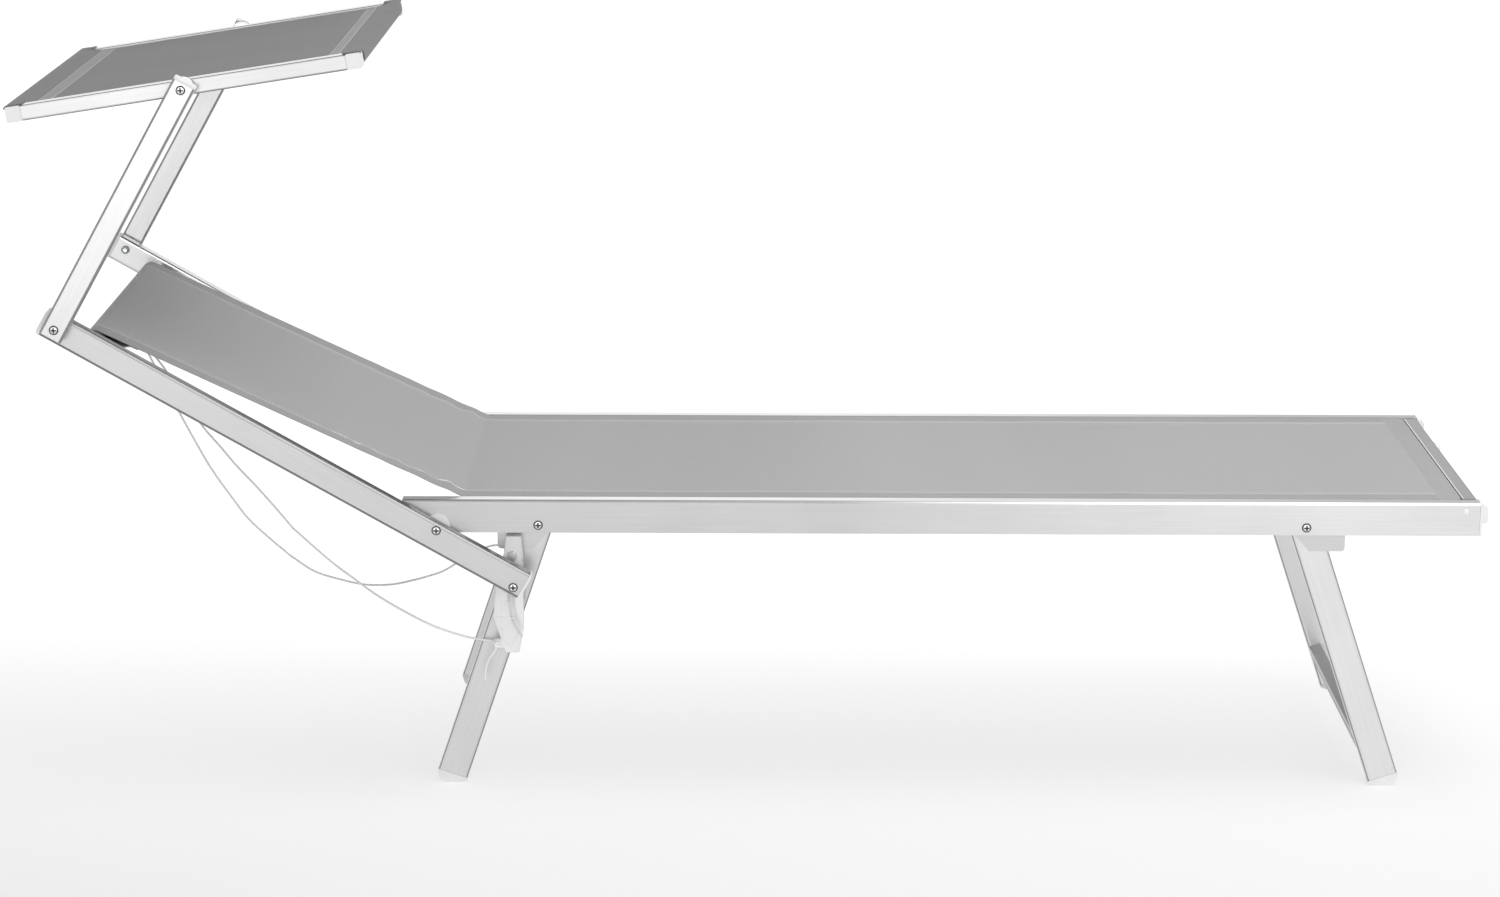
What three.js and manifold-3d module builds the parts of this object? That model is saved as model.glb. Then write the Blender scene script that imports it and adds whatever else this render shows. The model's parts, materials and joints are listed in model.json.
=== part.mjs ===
// Sun lounger with a tilting canopy: two slotted side rails with a sling seat, two folding leg
// frames, a sling back on two reclining arms that a swinging rack catches, and a small canopy
// on two uprights. Millimetres, +Z up, head end at -X, foot end at +X, near side at -Y.
// Until the last step X is measured from the recline pivot; the whole part is then centred.

import * as THREE from 'three';
import { mergeVertices } from 'three/addons/utils/BufferGeometryUtils.js';
import Module from 'manifold-3d';

const wasm = await Module();
wasm.setup();

// Clearances that all pieces share
const seatGap = 0.3;
const overrun = 2;
const weldDistance = 0.0005;

// How finely round shapes are cut
const roundSteps = 24;
const smallRoundSteps = 12;
const cornerSteps = 3;

// Angles
const quarterTurn = Math.PI / 2;
const halfTurn = Math.PI;
const fullTurn = Math.PI + Math.PI;
const reclineAngle = THREE.MathUtils.degToRad(29.75);
const legLean = THREE.MathUtils.degToRad(18.7);
const uprightLean = THREE.MathUtils.degToRad(29.15);
const canopyPitch = THREE.MathUtils.degToRad(9.06);

// Side rails and the foot cross, one slotted profile
const frameWidth = 500;
const seatHeight = 390;
const railThickness = 25;
const railHeight = 43;
const railWall = 1.6;
const railEdgeRadius = 3;
const railHeadLength = 45;
const railFootLength = 1336;
const slotInset = 20;
const beadRadius = 2.5;
const beadDepth = 8;

// Sling cloth
const clothThickness = 2;
const seatClothStart = 36;
const slingOverlapGap = 8;
const backClothNarrowLength = 26;
const backClothTaperLength = 20;
const backClothRailClearance = 3;

// Recline pivot, and the bar between the rails just past it, under the seat cloth
const reclinePivotDrop = 34.5;
const seatCrossRadius = 11;
const seatCrossWall = 1.5;
const seatCrossDistance = 34;

// Corner pieces at the foot end
const footCornerFlange = 3;
const footCornerPlug = 14;
const footBufferReach = 8;
const footBufferHeight = 24;
const footBufferWidth = 17;
const footBufferDrop = 4;
const footBufferRadius = 5;

// Screws and bolts
const shankRadius = 3;
const screwHeadRadius = 6;
const screwCrownRadius = 5.2;
const screwHeadHeight = 2.2;
const screwCrownHeight = 1.4;
const recessLength = 6.5;
const recessWidth = 1.4;
const recessDepth = 1.3;
const recessTurn = THREE.MathUtils.degToRad(36);
const nutRadius = 5.5;
const nutHeight = 5;

// Leg frames
const headLegX = 128.8;
const footLegEndDistance = 221.7;
const legPivotRise = 10;
const legWidth = 40;
const legThickness = 20;
const legWall = 1.5;
const legCornerRadius = 4;
const legBarEndDistance = 49.5;
const legBarSize = 20;
const legBarCornerRadius = 2.5;
const footCapHeight = 12.9;
const footCapPlug = 22;
const footCapEdge = 3;
const footCapFlatStartShare = 0.15;
const footCapFlatEndShare = 0.55;
const footCapTurnShare = 0.82;
const footCapTurnRiseShare = 0.25;

// Leg brackets inside the rails
const bracketPlate = 3;
const bracketHeelReach = 10;
const bracketToeReach = 54;
const bracketDepth = 38;
const bracketHeelDepth = 18;
const bracketHeelSlopeReach = 8;
const bracketRise = 23;
const bracketCornerRadius = 5;

// Reclining arms
const armHeight = 36;
const armThickness = 20;
const armWall = 1.5;
const armCornerRadius = 4;
const armAxisDrop = 9.7;
const armRailGap = 3;
const armHeadLength = 557;
const armTailLength = 132.5;
const armTailCapFlange = 3.5;
const armTailCapRadius = 2.6;
const armHeadCapFlange = 6;
const armHeadCapRadius = 5.4;
const armTailCapPlug = 5;
const armHeadCapPlug = 10;
const spacerRadius = 16;
const tailPinRadius = 4;
const tailPinX = 121.8;
const tailPinDrop = 17;
const headTubeEndDistance = 62;
const headTubeDrop = 9;
const headTubeRadius = 11;
const headTubeWall = 1.5;

// Racks that catch the tail pins
const rackBossX = 94;
const rackBossDrop = 43;
const rackThickness = 12;
const rackWeb = 2.5;
const rackStandOff = 3;
const rackTurnShare = 1.2;
const rackGrooveClearance = 0.6;
const rackStudRadius = 3.5;
const rackStudHeadRadius = 7;
const rackEarRadius = 11;
const rackNeckTop = 27;
const rackNeckHeadSide = 7;
const rackNeckFootSide = 12;
const rackBossHeadSide = 11;
const rackShoulderDrop = 30;
const rackBellyDrop = 82;
const rackBellyHeadSide = 25;
const rackWaistHeadSide = 20.5;
const rackHeelDrop = 129;
const rackHeelHeadSide = 9;
const rackHeelFootSide = 8;
const rackFootSide = 14;
const rackFootSideDrop = 100;
const rackEyeX = 20;
const rackEyeDrop = 117;
const rackEyeRadius = 6;
const rackEyeHole = 2.6;
const rackEyeThickness = 3;
const pinPathTurns = [-20, -15, -10, -5, 0, 5, 10, 15, 20, 25, 30, 35, 40];

// Canopy uprights
const uprightScrewEndDistance = 14.9;
const uprightDrop = 5.7;
const uprightWidth = 30;
const uprightThickness = 20;
const uprightWall = 1.5;
const uprightCornerRadius = 3;
const uprightEndReach = 11.5;
const uprightHoleSpacing = 347;
const uprightArmGap = 3;
const uprightCapFlange = 3;
const uprightCapPlug = 5;
const uprightFloor = 2;
const washerRadius = 15;

// Canopy
const canopyLength = 450;
const canopyRailSize = 20;
const canopyRailWall = 1.5;
const canopyRailRadius = 2.5;
const canopyCapLength = 20;
const canopyCapPlug = 18;
const canopyBarRadius = 6;
const canopyBarWall = 1.2;
const canopyClothRise = 3;
const canopyBarStub = 14;
const canopyClothSideGap = 1.5;

// Release cords, hand-chosen points from the recline pivot: along X, out from the middle, up.
// The places out are for racks whose outer faces are at cordRouteReach.
const cordRouteReach = 240;
const cordRadius = 1.4;
const cordSides = 8;
const longSteps = 24;
const eyeSteps = 8;
const tailSteps = 6;
const knotRadius = 4.2;
const knotSeatShare = 0.75;
const nearCordRoutes = {
  long: [
    [-434, 8, 223.2], [-424, 11, 210.5], [-404, 16, 184.5], [-379, 24, 153.5], [-353, 36, 116.5],
    [-328, 47, 81.5], [-305, 57, 57.5], [-282, 68, 33.5], [-259, 79, 12.5], [-232, 90, -14.5],
    [-205, 103, -42.5], [-180, 115, -61.5], [-148, 130, -84.5], [-122, 141, -99.5], [-88, 157, -118.5],
    [-47, 176, -135.5], [-10, 196, -147.5], [12, 209, -153.5], [30, 219, -156.5],
  ],
  eye: [
    [28, 218, -156.3], [44, 224, -158], [58, 226, -159.5],
    [68, 229, -160], [74, 236, -160], [74, 244, -160],
  ],
  tail: [[73, 245, -162.5], [70, 247, -169.5], [63, 247, -179.5], [59, 247, -192.5], [58, 247, -209.5]],
};
const farCordRoutes = {
  long: [
    [-435, 8, 223.3], [-427, 11, 208.5], [-411, 15, 174.5], [-393, 21, 133.5], [-372, 29, 85.5],
    [-352, 37, 41.5], [-333, 46, 1.5], [-310, 55, -37.5], [-287, 66, -74.5], [-262, 77, -103.5],
    [-233, 91, -134.5], [-203, 104, -159.5], [-170, 119, -175.5], [-138, 133, -187.5], [-104, 149, -192.5],
    [-68, 166, -190.5], [-36, 181, -182.5], [-8, 197, -169.5], [12, 209, -160.5], [30, 219, -154.5],
  ],
  eye: [
    [28, 218, -155], [44, 224, -153.5], [58, 226, -156.5],
    [68, 229, -159.5], [74, 236, -160], [74, 244, -160],
  ],
  tail: [[73, 245, -162.5], [70, 247, -170.5], [65, 247, -180.5], [62, 247, -192.5], [61, 247, -207.5]],
};

// Surface finishes
const finishes = {
  satinAluminium: { color: 0xdadbdc, roughness: 0.38, metalness: 0.75 },
  brightSteel: { color: 0xc8c9cb, roughness: 0.25, metalness: 0.95 },
  whitePlastic: { color: 0xf4f4f2, roughness: 0.5, metalness: 0 },
  greySling: { color: 0xa2a3a4, roughness: 0.85, metalness: 0 },
  whiteCord: { color: 0xf0efeb, roughness: 0.9, metalness: 0 },
};

// Places worked out from the sizes above
const railOuter = frameWidth / 2;
const railInner = railOuter - railThickness;
const railBottom = seatHeight - railHeight;
const reclineHeight = seatHeight - reclinePivotDrop;
const legPivotHeight = railBottom + legPivotRise;
const footLegX = railFootLength - footLegEndDistance;
const legLength = legPivotHeight / Math.cos(legLean) - footCapHeight;
const legBarDistance = legLength - legBarEndDistance;
const headTubeX = armHeadLength - headTubeEndDistance;
const uprightX = armHeadLength - uprightScrewEndDistance;
const bracketOuter = railInner - seatGap;
const legOuter = bracketOuter - bracketPlate - seatGap;
const legInner = legOuter - legThickness;
const bracketInner = legInner - seatGap - bracketPlate;
const armInner = railOuter + armRailGap;
const armOuter = armInner + armThickness;
const armTop = armHeight / 2 - armAxisDrop;
const armBottom = armTop - armHeight;
const uprightInner = armOuter + uprightArmGap;
const uprightOuter = uprightInner + uprightThickness;
const rackInner = bracketOuter + rackStandOff + seatGap;
const rackOuter = rackInner + rackThickness;
const holeRadius = shankRadius + seatGap;
const canopySleeveRadius = canopyBarRadius + seatGap + clothThickness;
const canopyBarX = canopyLength / 2 - canopySleeveRadius;
const sides = [{ side: 'near', sign: -1 }, { side: 'far', sign: 1 }];

// Makes a point on a flat outline
const at = (across, up) => new THREE.Vector2(across, up);

// Points along an arc, both ends included
function arcPoints(across, up, radius, from, to, steps) {
  const points = [];
  for (let step = 0; step <= steps; step += 1) {
    const angle = THREE.MathUtils.lerp(from, to, step / steps);
    points.push(at(across + radius * Math.cos(angle), up + radius * Math.sin(angle)));
  }
  return points;
}

function disc(across, up, radius, steps = roundSteps) {
  return arcPoints(across, up, radius, 0, fullTurn, steps).slice(0, -1);
}

// A box outline with rounded corners, given by its low and high corners
function roundedBox(low, high, radius, steps = cornerSteps) {
  return [
    ...arcPoints(high.x - radius, high.y - radius, radius, 0, quarterTurn, steps),
    ...arcPoints(low.x + radius, high.y - radius, radius, quarterTurn, halfTurn, steps),
    ...arcPoints(low.x + radius, low.y + radius, radius, halfTurn, halfTurn + quarterTurn, steps),
    ...arcPoints(high.x - radius, low.y + radius, radius, halfTurn + quarterTurn, fullTurn, steps),
  ];
}

// A shape whose outline runs anticlockwise, so that its holes are cut the right way round
function shapeOf(points, holes = []) {
  const shape = new THREE.Shape(THREE.ShapeUtils.isClockWise(points) ? [...points].reverse() : points);
  shape.holes = holes.map((hole) => new THREE.Path(hole));
  return shape;
}

// A tube's section: rounded box with an even wall
function tubeSection(low, high, radius, wall) {
  const inset = at(wall, wall);
  const hollow = roundedBox(low.clone().add(inset), high.clone().sub(inset), radius - wall);
  return shapeOf(roundedBox(low, high, radius), [hollow]);
}

function extrudeAlong(shape, length) {
  return new THREE.ExtrudeGeometry(shape, { depth: length, bevelEnabled: false });
}

// An outline seen from the side (X across, Z up), carried from one Y to another
function acrossFrame(shape, fromY, toY) {
  const geometry = extrudeAlong(shape, Math.abs(toY - fromY));
  geometry.rotateX(quarterTurn);
  return geometry.translate(0, Math.max(fromY, toY), 0);
}

// An outline seen from the foot end (Y across, Z up), carried from one X to another
function alongFrame(shape, fromX, toX) {
  const geometry = extrudeAlong(shape, toX - fromX);
  const basis = new THREE.Matrix4().makeBasis(
    new THREE.Vector3(0, 1, 0),
    new THREE.Vector3(0, 0, 1),
    new THREE.Vector3(1, 0, 0),
  );
  return geometry.applyMatrix4(basis).translate(fromX, 0, 0);
}

// An outline seen from above (X across, Y up), carried from one Z to another
function upFrame(shape, fromZ, toZ) {
  return extrudeAlong(shape, toZ - fromZ).translate(0, 0, fromZ);
}

// Turns a profile of radii and sideways places about a line along Y
function turned(profile, centreX, centreZ, sign, steps) {
  const geometry = new THREE.LatheGeometry(profile, steps);
  if (sign < 0) geometry.rotateX(halfTurn);
  return geometry.translate(centreX, 0, centreZ);
}

// The closed profile of a ring or tube
function ringProfile(inner, outer, from, to) {
  return [at(inner, from), at(outer, from), at(outer, to), at(inner, to), at(inner, from)];
}

function toSolid(geometry) {
  const bare = geometry.index ? geometry.toNonIndexed() : geometry.clone();
  bare.deleteAttribute('normal');
  bare.deleteAttribute('uv');
  const merged = mergeVertices(bare, weldDistance);
  return new wasm.Manifold(new wasm.Mesh({
    numProp: 3,
    vertProperties: new Float32Array(merged.attributes.position.array),
    triVerts: new Uint32Array(merged.index.array),
  }));
}

function toGeometry(solid) {
  const mesh = solid.getMesh();
  const geometry = new THREE.BufferGeometry();
  geometry.setAttribute('position', new THREE.BufferAttribute(new Float32Array(mesh.vertProperties), 3));
  geometry.setIndex(new THREE.BufferAttribute(new Uint32Array(mesh.triVerts), 1));
  const flat = geometry.toNonIndexed();
  flat.computeVertexNormals();
  return flat;
}

function joined(first, ...rest) {
  return toGeometry(rest.reduce((solid, next) => solid.add(toSolid(next)), toSolid(first)));
}

function cutBy(work, ...tools) {
  return toGeometry(tools.reduce((solid, tool) => solid.subtract(toSolid(tool)), toSolid(work)));
}

function common(first, second) {
  return toGeometry(toSolid(first).intersect(toSolid(second)));
}

// A round hole along Y through everything between two Y places
function drill(centreX, centreZ, radius, fromY, toY) {
  const low = Math.min(fromY, toY) - overrun;
  const high = Math.max(fromY, toY) + overrun;
  return acrossFrame(shapeOf(disc(centreX, centreZ, radius, smallRoundSteps)), low, high);
}

function piece(name, geometry, finish) {
  const mesh = new THREE.Mesh(geometry, new THREE.MeshStandardMaterial(finishes[finish]));
  mesh.name = name;
  return mesh;
}

// The slotted profile, as points of inset from its outer face and height
function slottedProfile(place) {
  const slotHalf = clothThickness / 2 + seatGap;
  const chamber = beadRadius + seatGap;
  const chamberUp = seatHeight - beadDepth;
  const mouth = Math.asin(slotHalf / chamber);
  const lipTop = seatHeight - clothThickness - seatGap;
  const ledge = chamberUp - chamber - railWall;
  const beside = slotInset - chamber - railWall;
  const turn = arcPoints(slotInset, chamberUp, chamber, quarterTurn + mouth, fullTurn + quarterTurn - mouth,
    smallRoundSteps);
  const edge = arcPoints(railEdgeRadius, seatHeight - railEdgeRadius, railEdgeRadius, halfTurn, quarterTurn,
    cornerSteps);
  const outline = [
    at(railThickness, railBottom), at(0, railBottom), ...edge,
    at(slotInset - slotHalf, seatHeight), ...turn,
    at(slotInset + slotHalf, lipTop), at(railThickness, lipTop),
  ];
  const hollow = [
    at(railThickness - railWall, railBottom + railWall), at(railWall, railBottom + railWall),
    at(railWall, seatHeight - railEdgeRadius), at(railEdgeRadius, seatHeight - railWall),
    at(beside, seatHeight - railWall), at(beside, ledge), at(railThickness - railWall, ledge),
  ];
  return shapeOf(outline.map(place), [hollow.map(place)]);
}

function sideRail({ side, sign }) {
  const profile = slottedProfile((point) => at(sign * (railOuter - point.x), point.y));
  const bar = alongFrame(profile, -railHeadLength, railFootLength);
  const holes = [[0, reclineHeight], [headLegX, legPivotHeight], [footLegX, legPivotHeight]]
    .map(([x, z]) => drill(x, z, holeRadius, sign * railInner, sign * railOuter));
  return piece(`side_rail_${side}`, cutBy(bar, ...holes), 'satinAluminium');
}

function footCross() {
  const profile = slottedProfile((point) => at(railFootLength - point.x, point.y));
  const halfLength = railInner - seatGap;
  return piece('foot_cross', acrossFrame(profile, -halfLength, halfLength), 'satinAluminium');
}

// The end cap of a rail, with its plug in the hollow and its buffer on the outside
function footCorner({ side, sign }) {
  const flangeStart = railFootLength + seatGap;
  const flangeEnd = railFootLength + footCornerFlange;
  const inset = railWall + seatGap;
  const ledge = seatHeight - beadDepth - beadRadius - seatGap - railWall - seatGap;
  const flange = alongFrame(shapeOf(roundedBox(
    at(Math.min(sign * railInner, sign * railOuter), railBottom),
    at(Math.max(sign * railInner, sign * railOuter), seatHeight),
    railWall,
  )), flangeStart, flangeEnd);
  const plug = alongFrame(shapeOf(roundedBox(
    at(Math.min(sign * (railInner + inset), sign * (railOuter - inset)), railBottom + inset),
    at(Math.max(sign * (railInner + inset), sign * (railOuter - inset)), ledge),
    railWall,
  )), railFootLength - footCornerPlug, flangeStart + footCornerFlange / 2);
  const bufferTop = seatHeight - footBufferDrop;
  const bufferMiddle = railOuter - railThickness / 2;
  const buffer = acrossFrame(shapeOf(roundedBox(
    at(flangeStart + seatGap, bufferTop - footBufferHeight),
    at(flangeEnd + footBufferReach, bufferTop),
    footBufferRadius,
  )), sign * (bufferMiddle - footBufferWidth / 2), sign * (bufferMiddle + footBufferWidth / 2));
  return piece(`foot_corner_${side}`, joined(flange, plug, buffer), 'whitePlastic');
}

// Half of a sling's slot edge: the web that goes down into the slot and the bead on it
function slingEdge(slotPlace, outward) {
  const bead = at(slotPlace, seatHeight - beadDepth);
  const halfWeb = clothThickness / 2;
  const start = Math.asin(halfWeb / beadRadius);
  const last = start - quarterTurn - halfTurn;
  const turn = arcPoints(0, 0, beadRadius, quarterTurn - start, last, smallRoundSteps)
    .map((point) => at(bead.x + outward * point.x, bead.y + point.y));
  const under = at(bead.x - outward * halfWeb, seatHeight - clothThickness);
  return [at(bead.x + outward * halfWeb, seatHeight), ...turn, under];
}

// The seat sling, with its beads in the slots of both rails and of the foot cross
function seatCloth() {
  const slotY = railOuter - slotInset;
  const slotX = railFootLength - slotInset;
  const section = [...slingEdge(slotY, 1), ...slingEdge(-slotY, -1).reverse()];
  const sheetEnd = slotX - clothThickness;
  const sheet = alongFrame(shapeOf(section), seatClothStart, sheetEnd);
  const hemStart = sheetEnd - overrun;
  const hem = [...slingEdge(slotX, 1), at(hemStart, seatHeight - clothThickness), at(hemStart, seatHeight)];
  const hemHalf = railInner - clothThickness - seatGap;
  return piece('seat_cloth', joined(sheet, acrossFrame(shapeOf(hem), -hemHalf, hemHalf)), 'greySling');
}

// A pan-head screw along Y: its head seats on headSeat, its shank ends at tipPlace.
// A collar or a nut is a thicker stretch of the same turned profile.
function screw(name, centreX, centreZ, sign, headSeat, tipPlace, options = {}) {
  const radius = options.radius ?? shankRadius;
  const seat = headSeat + seatGap;
  const rim = seat + screwHeadHeight - screwCrownHeight;
  const crown = seat + screwHeadHeight;
  const profile = [at(0, tipPlace), at(options.nut ? nutRadius : radius, tipPlace)];
  if (options.nut) profile.push(at(nutRadius, tipPlace + nutHeight), at(radius, tipPlace + nutHeight));
  if (options.collar) {
    const { from, to, reach } = options.collar;
    profile.push(at(radius, from), at(reach, from), at(reach, to), at(radius, to));
  }
  profile.push(
    at(radius, seat), at(screwHeadRadius, seat), at(screwHeadRadius, rim),
    at(screwCrownRadius, crown), at(0, crown),
  );
  const body = turned(profile, centreX, centreZ, sign, smallRoundSteps);
  const crosses = [0, quarterTurn].map((turn) => {
    const slot = new THREE.BoxGeometry(recessLength, recessDepth + overrun, recessWidth);
    slot.rotateY(turn + recessTurn);
    return slot.translate(centreX, sign * (crown + overrun / 2 - recessDepth / 2), centreZ);
  });
  return piece(name, cutBy(body, ...crosses), 'brightSteel');
}

// The outline of a leg bracket's plate; toward is the way the leg leans along X
function bracketPlateShape(pivotX, toward) {
  const place = ([x, z]) => at(pivotX + toward * x, legPivotHeight + z);
  const corner = arcPoints(
    bracketToeReach - bracketCornerRadius, bracketCornerRadius - bracketDepth, bracketCornerRadius,
    -quarterTurn, 0, cornerSteps,
  ).map((point) => [point.x, point.y]);
  return shapeOf([
    [-bracketHeelReach, bracketRise], [-bracketHeelReach, -bracketHeelDepth],
    [-bracketHeelReach + bracketCornerRadius, -bracketHeelDepth - bracketCornerRadius],
    [bracketHeelSlopeReach, -bracketDepth], ...corner, [bracketToeReach, bracketRise],
  ].map(place));
}

// A bracket: two plates that hold the leg between them, and the stop that it leans on.
// The head pair also carries the rack on a stud with a collar and a head.
function legBracket(name, pivotX, toward, sign, carriesRack) {
  const outline = bracketPlateShape(pivotX, toward);
  const outer = acrossFrame(outline, sign * (bracketOuter - bracketPlate), sign * bracketOuter);
  const inner = acrossFrame(outline, sign * bracketInner, sign * (bracketInner + bracketPlate));
  const face = (z) => (legWidth / 2 + seatGap) / Math.cos(legLean) - z * Math.tan(legLean);
  const place = ([x, z]) => at(pivotX + toward * x, legPivotHeight + z);
  const stop = acrossFrame(shapeOf([
    [face(-bracketDepth + bracketCornerRadius), -bracketDepth + bracketCornerRadius],
    [bracketToeReach, -bracketDepth + bracketCornerRadius],
    [bracketToeReach, bracketRise], [face(bracketRise), bracketRise],
  ].map(place)), sign * (bracketInner + bracketPlate / 2), sign * (bracketOuter - bracketPlate / 2));
  const parts = [outer, inner, stop];
  if (carriesRack) parts.push(...rackStud(sign));
  const bore = drill(pivotX, legPivotHeight, holeRadius, sign * bracketInner, sign * bracketOuter);
  return piece(name, cutBy(joined(...parts), bore), 'satinAluminium');
}

function rackStud(sign) {
  const bossZ = reclineHeight - rackBossDrop;
  const earRoot = legPivotHeight - bracketDepth + bracketPlate;
  const ear = [
    ...arcPoints(rackBossX, bossZ, rackEarRadius, halfTurn, fullTurn, cornerSteps * 2),
    at(rackBossX + rackEarRadius, earRoot), at(rackBossX - rackEarRadius, earRoot),
  ];
  const plate = acrossFrame(shapeOf(ear), sign * (bracketOuter - bracketPlate), sign * bracketOuter);
  const headSeat = rackOuter + seatGap;
  const profile = [
    at(0, bracketOuter - bracketPlate), at(rackEarRadius, bracketOuter - bracketPlate),
    at(rackEarRadius, bracketOuter + rackStandOff), at(rackStudRadius, bracketOuter + rackStandOff),
    at(rackStudRadius, headSeat), at(rackStudHeadRadius, headSeat),
    at(rackStudHeadRadius, headSeat + screwHeadHeight / 2),
    at(screwHeadRadius, headSeat + screwHeadHeight), at(0, headSeat + screwHeadHeight),
  ];
  return [plate, turned(profile, rackBossX, bossZ, sign, roundSteps)];
}

// One leg frame in its own upright position, hung from its pivot line; inward is the side
// along X that faces the middle of the lounger
function legFrame(end, pivotX, toward) {
  const group = new THREE.Group();
  group.position.set(pivotX, 0, legPivotHeight);
  group.rotation.y = -toward * legLean;
  const inward = -toward;
  const half = legWidth / 2;
  for (const { side, sign } of sides) {
    const low = at(-half, Math.min(sign * legInner, sign * legOuter));
    const high = at(half, Math.max(sign * legInner, sign * legOuter));
    const tube = upFrame(tubeSection(low, high, legCornerRadius, legWall), -legLength, half);
    const silhouette = acrossFrame(shapeOf([
      ...arcPoints(0, 0, half, 0, halfTurn, smallRoundSteps),
      at(-half, -legLength - overrun), at(half, -legLength - overrun),
    ]), sign * (legInner - overrun), sign * (legOuter + overrun));
    const rounded = common(tube, silhouette);
    const bore = drill(0, 0, holeRadius, sign * legInner, sign * legOuter);
    group.add(piece(`${end}_leg_${side}`, cutBy(rounded, bore), 'satinAluminium'));
    group.add(legCap(end, side, sign, toward));
  }
  const barMiddle = inward * (half - legBarSize / 2);
  const bar = acrossFrame(tubeSection(
    at(barMiddle - legBarSize / 2, -legBarDistance - legBarSize / 2),
    at(barMiddle + legBarSize / 2, -legBarDistance + legBarSize / 2),
    legBarCornerRadius, legWall,
  ), seatGap - legInner, legInner - seatGap);
  group.add(piece(`${end}_leg_bar`, bar, 'satinAluminium'));
  return group;
}

// A foot cap: a plug in the leg and a rounded tread, cut flat where it meets the floor
function legCap(end, side, sign, toward) {
  const half = legWidth / 2;
  const inset = legWall + seatGap;
  const floorAt = (across) => -(toward * across * Math.sin(legLean) + legPivotHeight) / Math.cos(legLean);
  const rim = -legLength - seatGap;
  const heel = -toward * half;
  const toe = toward * half;
  const [flatStart, flatEnd, turnAcross] = [footCapFlatStartShare, footCapFlatEndShare, footCapTurnShare]
    .map((share) => THREE.MathUtils.lerp(heel, toe, share));
  const turnUp = THREE.MathUtils.lerp(floorAt(turnAcross), rim, footCapTurnRiseShare);
  const tread = shapeOf([
    at(heel, rim), at(heel, rim - footCapEdge), at(flatStart, floorAt(flatStart)),
    at(flatEnd, floorAt(flatEnd)), at(turnAcross, turnUp), at(toe, rim - footCapEdge), at(toe, rim),
  ]);
  const treadSolid = acrossFrame(tread, sign * legInner, sign * legOuter);
  const plug = upFrame(shapeOf(roundedBox(
    at(inset - half, Math.min(sign * (legInner + inset), sign * (legOuter - inset))),
    at(half - inset, Math.max(sign * (legInner + inset), sign * (legOuter - inset))),
    legCornerRadius - legWall,
  )), rim - footCapEdge / 2, rim + footCapPlug);
  return piece(`${end}_foot_cap_${side}`, joined(treadSolid, plug), 'whitePlastic');
}

// Where the tail pin stands in the rack's own frame, measured from its boss, after the back
// has turned so many degrees from rest
function pinInRack(turn) {
  const back = reclineAngle + THREE.MathUtils.degToRad(turn);
  const pinX = tailPinX * Math.cos(back) - tailPinDrop * Math.sin(back);
  const pinZ = -tailPinX * Math.sin(back) - tailPinDrop * Math.cos(back);
  return at(pinX - rackBossX, pinZ + rackBossDrop)
    .rotateAround(at(0, 0), THREE.MathUtils.degToRad(turn * rackTurnShare));
}

// A rack, hung from its boss: the groove for the tail pin is the pin's own path, and its
// upper end runs out to the foot side, where the pin leaves it as the back goes flat
function rack({ side, sign }) {
  const group = new THREE.Group();
  group.position.set(rackBossX, 0, reclineHeight - rackBossDrop);
  const body = acrossFrame(shapeOf([
    at(-rackNeckHeadSide, rackNeckTop), at(-rackBossHeadSide, 0),
    at(-rackWaistHeadSide, -rackShoulderDrop), at(-rackBellyHeadSide, -rackBellyDrop),
    at(-rackHeelHeadSide, -rackHeelDrop), at(rackHeelFootSide, -rackHeelDrop),
    at(rackFootSide, -rackFootSideDrop), at(rackFootSide, 0), at(rackNeckFootSide, rackNeckTop),
  ]), sign * rackInner, sign * rackOuter);
  const eye = acrossFrame(shapeOf(disc(-rackEyeX, -rackEyeDrop, rackEyeRadius, smallRoundSteps)),
    sign * (rackOuter - rackEyeThickness), sign * rackOuter);
  const eyeArm = acrossFrame(shapeOf([
    at(-rackEyeX, rackEyeRadius - rackEyeDrop), at(-rackEyeX, -rackEyeRadius - rackEyeDrop),
    at(0, -rackEyeRadius - rackEyeDrop), at(0, rackEyeRadius - rackEyeDrop),
  ]), sign * (rackOuter - rackEyeThickness), sign * rackOuter);
  const path = pinPathTurns.map(pinInRack);
  const reach = tailPinRadius + rackGrooveClearance;
  const stretches = path.slice(1).map((to, index) => grooveStretch(path[index], to, reach, sign));
  const bore = drill(0, 0, rackStudRadius + seatGap, sign * rackInner, sign * rackOuter);
  const hole = drill(-rackEyeX, -rackEyeDrop, rackEyeHole, sign * rackInner, sign * rackOuter);
  const solid = cutBy(joined(body, eye, eyeArm), ...stretches, bore, hole);
  group.add(piece(`rack_${side}`, solid, 'whitePlastic'));
  return group;
}

// One straight stretch of a groove with round ends, open on the rack's outer face
function grooveStretch(from, to, reach, sign) {
  const heading = to.clone().sub(from).angle();
  const outline = [
    ...arcPoints(to.x, to.y, reach, heading - quarterTurn, heading + quarterTurn, smallRoundSteps / 2),
    ...arcPoints(from.x, from.y, reach, heading + quarterTurn, heading + halfTurn + quarterTurn,
      smallRoundSteps / 2),
  ];
  return acrossFrame(shapeOf(outline), sign * (rackInner + rackWeb), sign * (rackOuter + overrun));
}

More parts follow.
